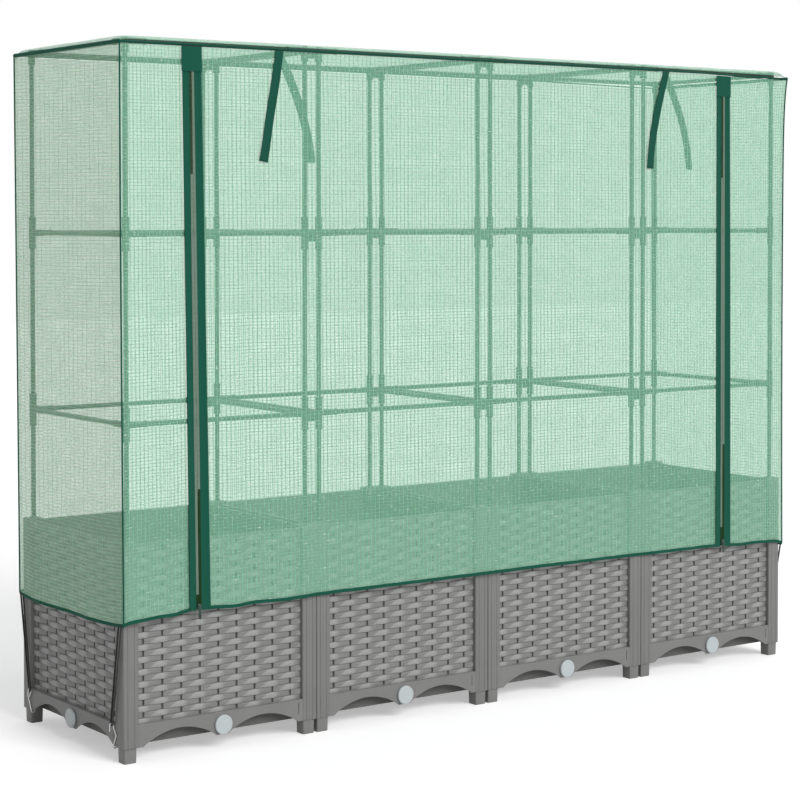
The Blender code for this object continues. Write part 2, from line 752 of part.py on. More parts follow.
def build_cover(film, trim):
    add_object("cover_roof", roof_mesh(), film)
    add_object("seam_piping", piping_mesh(), trim)

    left_of = {side: corner_edge(side, -1) for side in ("front", "left", "back", "right")}
    right_of = {side: corner_edge(side, 1) for side in ("front", "left", "back", "right")}
    walls = {
        "cover_front_right_strip": ("front", zip_edge(1, 1, TAPE_SIDE), right_of["front"], STRIP_FOLDS),
        "cover_right_wall": ("right", left_of["right"], right_of["right"], END_FOLDS),
        "cover_back_wall": ("back", left_of["back"], right_of["back"], BACK_FOLDS),
        "cover_left_wall": ("left", left_of["left"], right_of["left"], END_FOLDS),
        "cover_front_left_strip": ("front", left_of["front"], zip_edge(0, -1, TAPE_SIDE), STRIP_FOLDS),
        "door_panel": ("front", zip_edge(0, 1, TAPE_SIDE), zip_edge(1, -1, TAPE_SIDE), DOOR_FOLDS),
    }
    round_hem = []
    for name, (side, left, right, folds) in walls.items():
        columns = folds * FOLD_STEPS
        solid = wall_strip(side, left, right, columns, folds)
        add_object(name, mesh_of(name, [solid]), film)
        rings = hem_rings(side, left, right, columns, folds)
        if name == "door_panel":
            add_object("door_hem", mesh_of("door_hem", [loft(rings)]), trim)
            continue
        round_hem += rings
        if name != "cover_front_left_strip":
            round_hem.append(hem_ring(side, half_run(side, HEM_FRONT_Z), 0.0, True))
    add_object("hem_binding", mesh_of("hem_binding", [loft(round_hem)]), trim)


# Zips

def tape_mesh(which, sign, patched):
    """Half a zip: a tape with its coil along the zip's middle, and on the door the patch over its top."""
    back = TAPE_PROUD - TAPE_THICKNESS
    near = FIT / 2
    far = COIL_WIDTH + TAPE_WIDTH
    section = [(near, COIL_PROUD), (COIL_WIDTH, COIL_PROUD), (COIL_WIDTH, TAPE_PROUD), (far, TAPE_PROUD),
               (far, back), (near, back)]
    low = hem_z("front", corner_distance("front", ZIP_HEM_X[which]))
    name = f"tape_{which}_{sign}"

    def run(profile, heights):
        rings = []
        for z in heights:
            rings.append([wall_point("front", zip_x(which, z) + sign * x, z, out) for x, out in profile])
        return mesh_of(name, [loft(rings)])

    tape = run(section, (WALL_TOP_Z, low))
    if not patched:
        return tape
    under = COIL_PROUD + FIT
    front = under + PATCH_THICKNESS
    half = PATCH_WIDTH / 2
    root = (under + back) / 2
    foot = COIL_WIDTH + FIT
    patch = [(-half, under), (-half, front), (half, front), (half, root), (foot, root), (foot, under)]
    return combined(name, tape, [("UNION", run(patch, (WALL_TOP_Z - FIT, WALL_TOP_Z - PATCH_LENGTH)))])


def zip_frame(which):
    """The place of a zip's slider: its origin in the zip's middle at the hem, its Z up the zip."""
    low_z = hem_z("front", corner_distance("front", ZIP_HEM_X[which])) + SLIDER_LENGTH / 2
    low = wall_point("front", zip_x(which, low_z), low_z)
    high = wall_point("front", zip_x(which, WALL_TOP_Z), WALL_TOP_Z)
    up = (high - low).normalized()
    back = up.cross(Vector((1, 0, 0))).normalized()
    across = back.cross(up)
    turn = Matrix((across, back, up)).transposed().to_4x4()
    return Matrix.Translation(low) @ turn


def build_zips(trim, slider_grey, ribbon_green):
    for which, label in ((0, "left"), (1, "right")):
        outward = (-1, 1)[which]
        add_object(f"zip_tape_{label}", tape_mesh(which, outward, False), trim)
        add_object(f"door_zip_tape_{label}", tape_mesh(which, -outward, True), trim)

    slider_front = COIL_PROUD + FIT + SLIDER_THICKNESS
    for which, label in ((0, "left"), (1, "right")):
        place = zip_frame(which)
        half = SLIDER_WIDTH / 2
        tip = SLIDER_LENGTH / 2
        right_side = [(half * SLIDER_SHOULDER, -tip), (half, -tip * SLIDER_SHOULDER),
                      (half, tip * SLIDER_WAIST), (half * SLIDER_NOSE, tip)]
        outline = right_side + [(-x, z) for x, z in reversed(right_side)]
        rings = []
        crown = -slider_front * SLIDER_CROWN
        stops = ((1.0, -COIL_PROUD - FIT), (1.0, crown), (SLIDER_CROWN, -slider_front))
        for share, y in stops:
            rings.append([Vector((x * share, y, z * share)) for x, z in outline])
        add_object(f"zip_slider_{label}", mesh_of(f"zip_slider_{label}", [loft(rings)]), slider_grey, place)
        front = -slider_front - FIT
        pull = block((-PULL_WIDTH / 2, front - PULL_THICKNESS, -PULL_LENGTH), (PULL_WIDTH / 2, front, 0.0))
        pull = moved(pull, Matrix.Translation((0, -front, 0)))
        hang = place @ Matrix.Translation((0, front, 0))
        add_object(f"zip_pull_{label}", mesh_of(f"zip_pull_{label}", [pull]), slider_grey, hang)

    for label, swings, curves, out in (("outer", OUTER_RIBBON_SWING, OUTER_RIBBON_CURVE, 1),
                                       ("inner", INNER_RIBBON_SWING, INNER_RIBBON_CURVE, -1)):
        for side, x, swing, curve in zip(("left", "right"), RIBBON_X, swings, curves):
            name = f"{label}_ribbon_{side}"
            add_object(name, mesh_of(name, [ribbon(x, swing, curve, out)]), ribbon_green)


def ribbon(x, swing, curve, out):
    """A tie ribbon hanging from the roof seam: it leaves at a slant and hangs straighter below."""
    faces = []
    door_left = zip_edge(0, 1, TAPE_SIDE)
    door_right = zip_edge(1, -1, TAPE_SIDE)
    near = RIBBON_STANDOFF if out > 0 else -FILM - RIBBON_STANDOFF
    depths = (near + RIBBON_THICKNESS, near) if out > 0 else (near, near - RIBBON_THICKNESS)
    for depth in depths:
        grid = []
        for step in range(RIBBON_STEPS + 1):
            share = step / RIBBON_STEPS
            z = WALL_TOP_Z - RIBBON_LENGTH * share
            middle = x + swing * (1 - (1 - share) ** curve)
            line = []
            for side in (-1, 1):
                along = middle + side * RIBBON_WIDTH / 2
                door_share = (along - door_left(z)) / (door_right(z) - door_left(z))
                line.append(wall_point("front", along, z, depth, fold_at(door_share, DOOR_FOLDS)))
            grid.append(line)
        faces.append(grid)
    return grid_solid(faces[0], faces[1])


# Elastic cords and hooks

def tube_curve(name, run, radius, material, resolution):
    """A tube along the points of a run, as a poly curve with filled ends."""
    curve = bpy.data.curves.new(name, "CURVE")
    curve.dimensions = "3D"
    curve.bevel_depth = radius
    curve.bevel_resolution = resolution
    curve.use_fill_caps = True
    spline = curve.splines.new("POLY")
    spline.points.add(len(run) - 1)
    for spot, point in zip(spline.points, run):
        spot.co = (*point, 1.0)
    curve.materials.append(material)
    bpy.context.scene.collection.objects.link(bpy.data.objects.new(name, curve))


def cord_face():
    """How far out the elastic hangs, so that its hook's eye clears the box."""
    return ROW_HALF + HOOK_EYE_RADIUS + HOOK_RADIUS + FIT


def cord_run(to_x, to_y):
    """An elastic loop: down from the hem's corner, through the hook's eye and up again."""
    hook_y = HALF_BOX - HOOK_INSET
    half = CORD_SPREAD / 2

    def under_hem(inset):
        return HEM_WIDTH / 2 - inset, hem_z("left", inset + CORD_RADIUS) - FIT

    side_run = [under_hem(CORD_INSET)]
    for step in range(CORD_BEND_STEPS + 1):
        angle = math.pi * step / CORD_BEND_STEPS
        side_run.append((hook_y + half * math.cos(angle), HOOK_EYE_Z + half - half * math.sin(angle)))
    side_run.append(under_hem(CORD_INSET + CORD_TOP_SPREAD))
    return [Vector((to_x * cord_face(), to_y * y, z)) for y, z in side_run]


def hook_run(to_x, to_y):
    """A bent wire: an eye round the elastic, a shank down the rail, a turn under it and a tip behind it."""
    y = to_y * (HALF_BOX - HOOK_INSET)
    wire = HOOK_RADIUS + FIT
    run = []
    for step in range(HOOK_EYE_STEPS + 1):
        angle = math.radians(HOOK_EYE_START + HOOK_EYE_SWEEP * step / HOOK_EYE_STEPS)
        x = cord_face() + HOOK_EYE_RADIUS * math.cos(angle)
        run.append((x, HOOK_EYE_Z + HOOK_EYE_RADIUS * math.sin(angle)))
    run.append((ROW_HALF + wire, HOOK_EYE_Z - HOOK_NECK))
    middle = ROW_HALF - RAIL_WALL / 2
    bend = RAIL_WALL / 2 + wire
    for step in range(HOOK_BEND_STEPS + 1):
        angle = -math.pi * step / HOOK_BEND_STEPS
        run.append((middle + bend * math.cos(angle), FOOT_HEIGHT + bend * math.sin(angle)))
    run.append((middle - bend, FOOT_HEIGHT + HOOK_TIP))
    return [Vector((to_x * x, y, z)) for x, z in run]


def build_cords(cord_black, hook_steel):
    for end, to_x in (("left", -1), ("right", 1)):
        for face, to_y in (("front", -1), ("back", 1)):
            tube_curve(f"elastic_cord_{face}_{end}", cord_run(to_x, to_y), CORD_RADIUS, cord_black, 2)
            tube_curve(f"cord_hook_{face}_{end}", hook_run(to_x, to_y), HOOK_RADIUS, hook_steel, 1)


def main():
    clear_scene()
    body = make_material("planter_grey", (0.23, 0.23, 0.228), 0.55)
    dark = make_material("tray_grey", (0.10, 0.10, 0.10), 0.6)
    plug_grey = make_material("plug_grey", (0.52, 0.56, 0.57), 0.45)
    tube_green = make_material("tube_green", (0.05, 0.09, 0.07), 0.4, 0.6)
    film = make_material("film_green", (0.45, 0.80, 0.62), 0.35, 0.0, 0.45)
    trim = make_material("trim_green", (0.012, 0.11, 0.073), 0.7)
    slider_grey = make_material("slider_grey", (0.35, 0.36, 0.36), 0.35, 0.9)
    ribbon_green = make_material("ribbon_green", (0.012, 0.11, 0.073), 0.75)
    cord_black = make_material("cord_black", (0.03, 0.03, 0.028), 0.85)
    hook_steel = make_material("hook_steel", (0.55, 0.56, 0.56), 0.35, 1.0)
    build_boxes(body, dark, plug_grey)
    build_frame(tube_green)
    build_cover(film, trim)
    build_zips(trim, slider_grey, ribbon_green)
    build_cords(cord_black, hook_steel)


main()
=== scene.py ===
"""Covered raised planter: four woven-look planter boxes under one reinforced film cover.

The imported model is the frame, and every new piece is worked out from the same sizes, in metres, +Z up.
The front faces -Y. A side of a box is built in its own front view (s to the right, d inwards from the
box's face, z up) and then turned in quarters about the middle of its box. A wall of the cover is a
function of the place along it and the height.
"""
import math

import bmesh
import bpy
import numpy as np
from bpy.props import FloatProperty, FloatVectorProperty, IntProperty, PointerProperty
from bpy.types import Operator, Panel, PropertyGroup
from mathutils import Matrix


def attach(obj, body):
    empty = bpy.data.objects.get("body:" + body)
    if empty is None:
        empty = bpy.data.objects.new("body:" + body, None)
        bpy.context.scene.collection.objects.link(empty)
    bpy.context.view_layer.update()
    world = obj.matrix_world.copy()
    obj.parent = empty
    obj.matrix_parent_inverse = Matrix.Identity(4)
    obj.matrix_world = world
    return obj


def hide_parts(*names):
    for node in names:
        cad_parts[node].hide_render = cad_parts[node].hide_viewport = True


bl_info = {
    "name": "Covered Raised Planter",
    "version": (1, 0, 0),
    "blender": (4, 5, 0),
    "location": "View3D > Sidebar > Planter",
    "description": "Woven planter boxes in a row under a film cover on a tube frame",
    "category": "Add Mesh",
}

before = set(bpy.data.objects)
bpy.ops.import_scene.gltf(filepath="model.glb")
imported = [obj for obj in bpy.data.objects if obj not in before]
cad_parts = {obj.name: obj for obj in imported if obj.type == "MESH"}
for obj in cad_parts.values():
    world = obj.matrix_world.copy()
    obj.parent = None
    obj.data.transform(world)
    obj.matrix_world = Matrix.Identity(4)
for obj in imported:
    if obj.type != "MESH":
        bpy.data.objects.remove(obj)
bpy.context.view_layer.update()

# The gap kept between neighbouring pieces
FIT = 0.0003
# The attribute of plain plastic that holds painted light: painted shade in the depths at 0, painted highlight
# on the crests at 1
PLAIN_PAINTED_LIGHT = 0.42
# Cosine and sine of the quarter turns from the front to a box's right, back and left side
QUARTERS = ((1, 0), (0, 1), (-1, 0), (0, -1))


def length(name, description, default):
    """A length property in metres."""
    return FloatProperty(name=name, description=description, default=default, unit="LENGTH", precision=4)


def tint(name, description, default):
    """A colour property."""
    return FloatVectorProperty(name=name, description=description, default=default, subtype="COLOR",
                               size=3, min=0.0, max=1.0)


class PlanterBoxSizes(PropertyGroup):
    """Sizes of the boxes and of the weave moulded on their sides."""

    count: IntProperty(name="Boxes", description="Boxes in the row", default=4, min=1)
    size: length("Box width", "Across a box's faces", 0.3994)
    pitch: length("Box pitch", "From one box to the next", 0.400)
    post: length("Post width", "Across a corner post", 0.030)
    post_top: length("Post top", "Height of the posts' tops", 0.386)
    foot: length("Foot width", "Across a foot", 0.0245)
    foot_height: length("Foot height", "Height of the feet", 0.0265)
    foot_inset: length("Foot inset", "From a box's face to its feet", 0.00275)
    recess: length("Panel recess", "From the box's face in to the woven panel", 0.010)
    plate_back: length("Panel back", "From the box's face in to the panel's back", 0.014)
    panel_top: length("Panel top", "Height of the panel's top edge", 0.382)
    rail_top: length("Rail top", "Height of the bottom rail's top", 0.067)
    rail_wall: length("Rail wall", "Thickness of the bottom rail", 0.004)
    ledge: length("Ledge edge", "From the box's face in to the tray ledge's edge", 0.0225)
    arch_height: length("Arch height", "Rise of the rail's arches", 0.0245)
    arch_margin: length("Arch margin", "From a post to the nearest arch", 0.010)
    arch_post: length("Arch gap", "Between the two arches", 0.026)
    columns: length("Weave columns", "From one column of slots to the next", 0.038)
    first_column: length("First column", "From the box's corner to its first column of slots", 0.0436)
    rows: length("Weave rows", "Height of one woven strand", 0.0108)
    tucked: length("Weave tuck", "How far the lowest strand starts below the rail's top", 0.0027)
    rise: length("Strand rise", "How far a strand stands out where it crosses", 0.0031)
    slot_depth: length("Slot depth", "Depth of the dark slots between strands", 0.0026)
    disc: length("Drain disc radius", "Radius of a drain plug's disc", 0.0175)
    disc_proud: length("Drain disc height", "How far the disc stands out", 0.005)
    disc_level: length("Drain disc level", "Height of the disc's middle", 0.0445)


class PlanterFrameSizes(PropertyGroup):
    """Sizes of the tube frame and its connectors."""

    tube: length("Tube radius", "Radius of the frame tubes", 0.0044)
    sleeve: length("Sleeve radius", "Radius of a connector's upright sleeve", 0.0066)
    sleeve_length: length("Sleeve length", "Length of the upright sleeve", 0.060)
    top_sleeve: length("Top sleeve length", "Length of a top connector's sleeve", 0.027)
    arm: length("Arm radius", "Radius of a connector's level arm", 0.0060)
    reach: length("Arm reach", "From a tube's middle to the end of an arm", 0.040)
    offset: length("Tube offset", "From a box's middle to its tubes", 0.1847)
    lower: length("Lower level", "Height of the lower tubes", 0.5905)
    middle: length("Middle level", "Height of the middle tubes", 0.9225)
    top: length("Top level", "Height of the top tubes", 1.25774)
    socket: length("Socket depth", "How deep a tube stands in its post", 0.022)


class PlanterCoverSizes(PropertyGroup):
    """Sizes of the film cover, its folds and its trim."""

    roof_length: length("Roof length", "Roof from end seam to end seam", 1.617)
    roof_width: length("Roof width", "Roof from front seam to back seam", 0.4195)
    roof_edge: length("Roof edge", "Height of the roof's seam", 1.2545)
    crown: length("Roof crown", "How far the roof bulges over its seam", 0.0125)
    roll: length("Roof roll", "How quickly the roof's edge rolls down", 0.006)
    hem_length: length("Hem length", "Cover at the hem, end to end", 1.6085)
    hem_width: length("Hem width", "Cover at the hem, front to back", 0.4095)
    hem_front: length("Front hem", "Height of the hem along the front and the back", 0.2560)
    hem_corner: length("Corner hem", "Height of the hem at the corners", 0.2405)
    hem_end: length("End hem", "Height of the hem along the ends", 0.2360)
    hem_decay: length("Hem corner run", "How quickly the hem drops to a corner", 0.025)
    film: length("Film", "Thickness of the film", 0.0008)
    fold: length("Fold depth", "Depth of the folds at the hem", 0.004)
    mesh: length("Net mesh", "From one level thread of the net to the next", 0.0062)
    piping: length("Piping radius", "Radius of the roof's seam cord at the ends", 0.0028)
    end_piping: length("End piping radius", "Radius of the covered seam cord at the ends", 0.0036)
    thin_piping: length("Thin piping radius", "Radius of the seam cord along the front and the back", 0.0017)
    seam: length("Corner seam", "Thickness of the corner seams", 0.0024)
    drawn_in: length("Right end drawn in", "How far the right wall hangs in below its seam", 0.0100)
    droop: length("Right droop", "How far the roof's seam droops towards the right end", 0.0045)
    corner_swing: length("Corner swing", "How far the front left corner stands forward at the hem", 0.0048)
    corner_lift: length("Corner lift", "How far the left wall's hem rises towards the front corner", 0.0024)
    binding: length("Binding height", "Height of the hem's binding", 0.0060)
    binding_depth: length("Binding depth", "Thickness of the hem's binding", 0.0020)


class PlanterFittingSizes(PropertyGroup):
    """Sizes of the zips, ribbons, elastic cords and hooks."""

    zip_top_left: length("Left zip top", "Left zip along the front, at the seam", -0.668)
    zip_top_right: length("Right zip top", "Right zip along the front, at the seam", 0.6175)
    zip_hem_left: length("Left zip hem", "Left zip along the front, at the hem", -0.652)
    zip_hem_right: length("Right zip hem", "Right zip along the front, at the hem", 0.625)
    tape: length("Zip side", "From a zip's middle to its tape's outer edge", 0.0193)
    tape_flare: length("Tape flare", "How much wider a right tape is at the hem", 0.0050)
    coil: length("Coil side", "From a zip's middle to its coil's edge", 0.0028)
    patch_length: length("Patch length", "Length of the patch over a zip's top", 0.044)
    patch_width: length("Patch width", "Width of that patch", 0.041)
    ribbon: length("Ribbon width", "Width of a tie ribbon", 0.0175)
    ribbon_length: length("Ribbon length", "How far a ribbon hangs", 0.200)
    ribbon_left: length("Left ribbon", "Left ribbons along the front, at the seam", -0.4865)
    ribbon_right: length("Right ribbon", "Right ribbons along the front, at the seam", 0.454)
    cord: length("Elastic radius", "Radius of the elastic cords", 0.00175)
    cord_spread: length("Elastic spread", "Between the two runs of a loop at its hook", 0.0066)
    hook: length("Hook wire radius", "Radius of the hooks' wire", 0.0011)
    hook_eye: length("Hook eye radius", "Radius of the eye's middle line", 0.0033)
    hook_level: length("Hook eye level", "Height of the hook's eye", 0.0640)
    hook_inset: length("Hook inset", "From the box's corner to its hook", 0.036)


class PlanterColours(PropertyGroup):
    """Colours of the finishes."""

    # Painted highlight of the raised strands and painted shade of the depths; plain planter plastic lies
    # between them
    plastic_highlight: tint("Planter light", "Raised strands of the planter plastic", (0.340, 0.340, 0.336))
    plastic_shade: tint("Planter dark", "Depths of the planter plastic", (0.105, 0.104, 0.101))
    tray: tint("Tray", "Base trays behind the arches", (0.150, 0.148, 0.144))
    disc: tint("Drain disc", "Drain plugs", (0.515, 0.560, 0.575))
    tube: tint("Tube", "Coated frame tubes", (0.040, 0.070, 0.052))
    connector: tint("Connector", "Moulded connectors", (0.045, 0.078, 0.060))
    film: tint("Film", "Clear film between the threads", (0.44, 1.00, 0.70))
    # Paler than the film: painted light standing for light through the end walls
    end_film_painted_light: tint("End film", "Film of the end walls", (0.62, 1.00, 0.76))
    # Darker than the film: painted shade on the back wall's inner side
    back_film_painted_shade: tint("Back film", "Film of the back wall, seen from inside", (0.060, 0.400, 0.060))
    thread: tint("Thread", "Reinforcing threads", (0.230, 0.430, 0.300))
    # Brighter than the threads: painted light standing for light through the end walls
    end_thread_painted_light: tint("End thread", "Threads of the end walls", (0.340, 0.820, 0.430))
    # Darker than the threads: painted shade on the back wall's inner side
    back_thread_painted_shade: tint("Back thread", "Threads of the back wall, seen from inside", (0.030, 0.120, 0.050))
    trim: tint("Trim", "Bindings, piping and zip tapes", (0.0085, 0.0930, 0.0590))
    ribbon: tint("Ribbon", "Tie ribbons", (0.0080, 0.0870, 0.0560))
    coil: tint("Coil", "Zip coils", (0.210, 0.300, 0.240))
    # Painted shade laid over the coil halves at set heights
    coil_shade: tint("Lining", "Dark lining behind the zips' ends", (0.012, 0.040, 0.010))
    metal: tint("Slider", "Zip sliders and pulls", (0.030, 0.062, 0.048))
    cord: tint("Elastic", "Elastic cords", (0.030, 0.030, 0.028))
    wire: tint("Hook wire", "Galvanised hooks", (0.560, 0.570, 0.570))


# Surfaces as arrays

def surface(points, closed_u=False, closed_v=False, caps=False, lift=None, stretch=(1.0, 1.0)):
    """A grid of points (v rows by u columns) as faces (v, u), (v, u+1), (v+1, u+1), (v+1, u).

    The UV map runs along the surface in metres, times stretch: each line's place is the sum of the mean
    steps before it. caps closes the first and the last row, and the given painted highlight and shade is the
    attribute of every point.
    """
    points = np.asarray(points, float)
    rows, columns = points.shape[:2]
    step_u = np.linalg.norm(np.roll(points, -1, 1) - points, axis=2).mean(0)
    step_v = np.linalg.norm(np.roll(points, -1, 0) - points, axis=2).mean(1)
    run_u = stretch[0] * np.concatenate([[0.0], np.cumsum(step_u)])
    run_v = stretch[1] * np.concatenate([[0.0], np.cumsum(step_v)])
    v, u = np.meshgrid(np.arange(rows - (not closed_v)), np.arange(columns - (not closed_u)), indexing="ij")
    v, u = v.ravel(), u.ravel()
    corners = ((v, u), (v, u + 1), (v + 1, u + 1), (v + 1, u))
    quads = np.stack([(i % rows) * columns + j % columns for i, j in corners], 1)
    uv = np.stack([np.stack([run_u[j], run_v[i]], 1) for i, j in corners], 1)
    ends = []
    if caps:
        first = np.arange(columns)
        ends = [first[::-1], first + (rows - 1) * columns]
    lifts = np.full(rows * columns, PLAIN_PAINTED_LIGHT) if lift is None else np.asarray(lift, float).ravel()
    return {"points": points.reshape(-1, 3), "quads": quads, "uv": uv, "caps": ends, "lift": lifts}


def circle(radius, sides, turn=0.5):
    """Points round a circle, as (x, y)."""
    angle = 2 * np.pi * (np.arange(sides) + turn) / sides
    return radius * np.stack([np.cos(angle), np.sin(angle)], 1)


def rounded(width, height, radius, steps=3):
    """A rectangle with round corners about its middle: each corner is a quarter circle of steps parts."""
    angle = np.linspace(0, np.pi / 2, steps + 1)
    arc = radius * np.stack([np.cos(angle), np.sin(angle)], 1) + (width / 2 - radius, height / 2 - radius)
    return np.concatenate([arc, arc[::-1] * (-1, 1), arc * (-1, -1), arc[::-1] * (1, -1)])


def unit(vectors):
    """The vectors over their lengths."""
    return vectors / np.linalg.norm(vectors, axis=-1, keepdims=True)


def guide_for(axis, steepest):
    """A direction to turn sections by: up, or across where the axis itself is steep."""
    return np.array([0.0, 0.0, 1.0]) if abs(axis[2]) < steepest else np.array([1.0, 0.0, 0.0])


def lofted(outline, levels, centre=(0.0, 0.0)):
    """A closed column through an outline's copies: outline * scale + centre at each (z, scale)."""
    rings = [np.column_stack([outline * scale + centre, np.full(len(outline), z)]) for z, scale in levels]
    return surface(np.array(rings), closed_u=True, caps=True)


def swept(profile, path, normal, closed=False, scale=1.0):
    """A profile carried along a flat path: each point is path + x * (tangent x normal) + y * normal."""
    path = np.asarray(path, float)
    scale = np.broadcast_to(scale, len(path))[:, None, None]
    if closed:
        tangent = unit(np.roll(path, -1, 0) - np.roll(path, 1, 0))
    else:
        tangent = unit(np.gradient(path, axis=0))
    normal = np.asarray(normal, float)
    side = unit(np.cross(tangent, normal))
    points = path[:, None] + scale * (profile[None, :, :1] * side[:, None] + profile[None, :, 1:] * normal)
    return surface(points, closed_u=True, closed_v=closed, caps=not closed)


def tube(path, radius, sides):
    """A round tube along any path: each ring's side is the last one, made square to the new tangent."""
    path = np.asarray(path, float)
    tangent = unit(np.gradient(path, axis=0))
    side = unit(np.cross(tangent[0], guide_for(tangent[0], 0.8)))
    ring = circle(radius, sides)
    rings = []
    for point, along in zip(path, tangent):
        side = unit(side - along * (side @ along))
        rings.append(point + ring[:, :1] * side + ring[:, 1:] * np.cross(along, side))
    return surface(np.array(rings), closed_u=True, caps=True)


def turned(profile, centre, across, up, sides):
    """A profile of (radius, height) turned about an axis through centre: r cos t, r sin t, h."""
    across, up = np.asarray(across, float), np.asarray(up, float)
    axis = np.cross(across, up)
    ring = circle(1.0, sides)
    profile = np.asarray(profile, float)
    flat = ring[:, :1] * across + ring[:, 1:] * up
    points = np.asarray(centre) + profile[:, None, :1] * flat[None] + profile[:, None, 1:] * axis
    return surface(points, closed_u=True, caps=True)


def straight(start, end, stops, sides):
    """A turned piece between two points; stops are (share along, distance on, radius)."""
    start, end = np.asarray(start, float), np.asarray(end, float)
    axis = unit(end - start)
    across = unit(np.cross(guide_for(axis, 0.5), axis))
    whole = np.linalg.norm(end - start)
    profile = [(radius, share * whole + on) for share, on, radius in stops]
    return turned(profile, start, across, np.cross(axis, across), sides)


def moved(part, change):
    """The part with its points put through a function."""
    return {**part, "points": change(part["points"])}


def make_piece(name, parts, finish, body, replaced=(), sharp=38.0, closed=True):
    """One object from parts, with its UV map and the attribute of painted highlight and shade, riding on a
    body.

    Edges sharper than an angle in degrees stay hard. closed pieces have their normals turned outwards.
    """
    points = np.concatenate([part["points"] for part in parts])
    faces, uv, first = [], [], 0
    for part in parts:
        faces += (part["quads"] + first).tolist()
        uv.append(part["uv"].reshape(-1, 2))
        for cap in part["caps"]:
            faces.append((cap + first).tolist())
            uv.append(part["points"][cap][:, [0, 2]])
        first += len(part["points"])
    mesh = bpy.data.meshes.new(name)
    mesh.from_pydata(points.tolist(), [], faces)
    mesh.uv_layers.new(name="UVMap").data.foreach_set("uv", np.concatenate(uv).astype(np.float32).ravel())
    lift = mesh.attributes.new("lift", "FLOAT", "POINT")
    lift.data.foreach_set("value", np.concatenate([part["lift"] for part in parts]).astype(np.float32))
    if closed:
        shape = bmesh.new()
        shape.from_mesh(mesh)
        bmesh.ops.recalc_face_normals(shape, faces=shape.faces)
        shape.to_mesh(mesh)
        shape.free()
    mesh.shade_smooth()
    mesh.set_sharp_from_angle(angle=math.radians(sharp))
    mesh.materials.append(finish)
    piece = bpy.data.objects.new(name, mesh)
    bpy.context.scene.collection.objects.link(piece)
    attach(piece, body)
    if replaced:
        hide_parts(*replaced)
    return piece


def thicken(piece, thickness, offset=-1.0):
    """Gives an open sheet its thickness, inwards from the modelled face."""
    change = piece.modifiers.new("Thickness", "SOLIDIFY")
    change.thickness = thickness
    change.offset = offset
    change.use_even_offset = True


# Finishes

class Graph:
    """Adds nodes before the shader of a material, or of the world."""

    def __init__(self, owner, shader="Principled BSDF", **sockets):
        """Constants for the shader's sockets come by name, with _ for a space."""
        owner.use_nodes = True
        self.owner = owner
        self.tree = owner.node_tree
        self.shader = self.tree.nodes[shader]
        for key, value in sockets.items():
            self.set(key.replace("_", " "), value)

    def set(self, key, value):
        """Gives a socket of the shader a value or another node's output."""
        self.join(self.shader.inputs[key], value)

    def join(self, socket, value):
        """Gives any socket a value or another node's output."""
        if isinstance(value, bpy.types.NodeSocket):
            self.tree.links.new(value, socket)
        else:
            socket.default_value = value

    def add(self, kind, inputs, output=0, **settings):
        """A new node's output, by its place or its name."""
        node = self.tree.nodes.new(kind)
        for key, value in settings.items():
            setattr(node, key, value)
        for key, value in inputs.items():
            self.join(node.inputs[key], value)
        return node.outputs[output]

    def space(self, kind, scale):
        """The piece's own coordinates in metres, stretched by scale."""
        source = self.add("ShaderNodeTexCoord", {}, kind)
        return self.add("ShaderNodeMapping", {"Vector": source, "Scale": scale})

    def noise(self, kind, scale, detail=2.0, roughness=0.5):
        """Noise on the piece's coordinates stretched by scale, by axis or all the same."""
        scale = scale if isinstance(scale, tuple) else (scale,) * 3
        return self.add("ShaderNodeTexNoise", {"Vector": self.space(kind, scale), "Scale": 1.0,
                                               "Detail": detail, "Roughness": roughness}, "Fac")

    def wave(self, scale, direction):
        """Sine waves on the UV map along X or Y."""
        return self.add("ShaderNodeTexWave", {"Vector": self.space("UV", scale), "Scale": 0.16,
                                              "Distortion": 0.4},
                        "Fac", wave_profile="SIN", bands_direction=direction)

    def math(self, operation, *values):
        """One sum of a Math node."""
        return self.add("ShaderNodeMath", dict(enumerate(values)), operation=operation)

    def range(self, value, low, high, to_low=0.0, to_high=1.0, smooth=False):
        """A value from low to high mapped to another range, and held at its ends."""
        return self.add("ShaderNodeMapRange", {"Value": value, "From Min": low, "From Max": high,
                                               "To Min": to_low, "To Max": to_high},
                        interpolation_type="SMOOTHSTEP" if smooth else "LINEAR")

    def blend(self, share, first, second):
        """A colour between two colours."""
        node = self.tree.nodes.new("ShaderNodeMix")
        node.data_type = "RGBA"
        self.join(node.inputs[0], share)
        self.join(node.inputs[6], first)
        self.join(node.inputs[7], second)
        return node.outputs[2]

    def bump(self, height, distance, strength):
        """Relief of a height in metres."""
        self.set("Normal", self.add("ShaderNodeBump", {"Height": height, "Distance": distance,
                                                       "Strength": strength}))


def finish_graph(name, **sockets):
    """The graph of a new material, with constants for its shader's sockets."""
    return Graph(bpy.data.materials.new(name), **sockets)


def shade(colour, factor):
    """A colour made lighter or darker, with its alpha."""
    return (*[min(1.0, channel * factor) for channel in colour], 1.0)


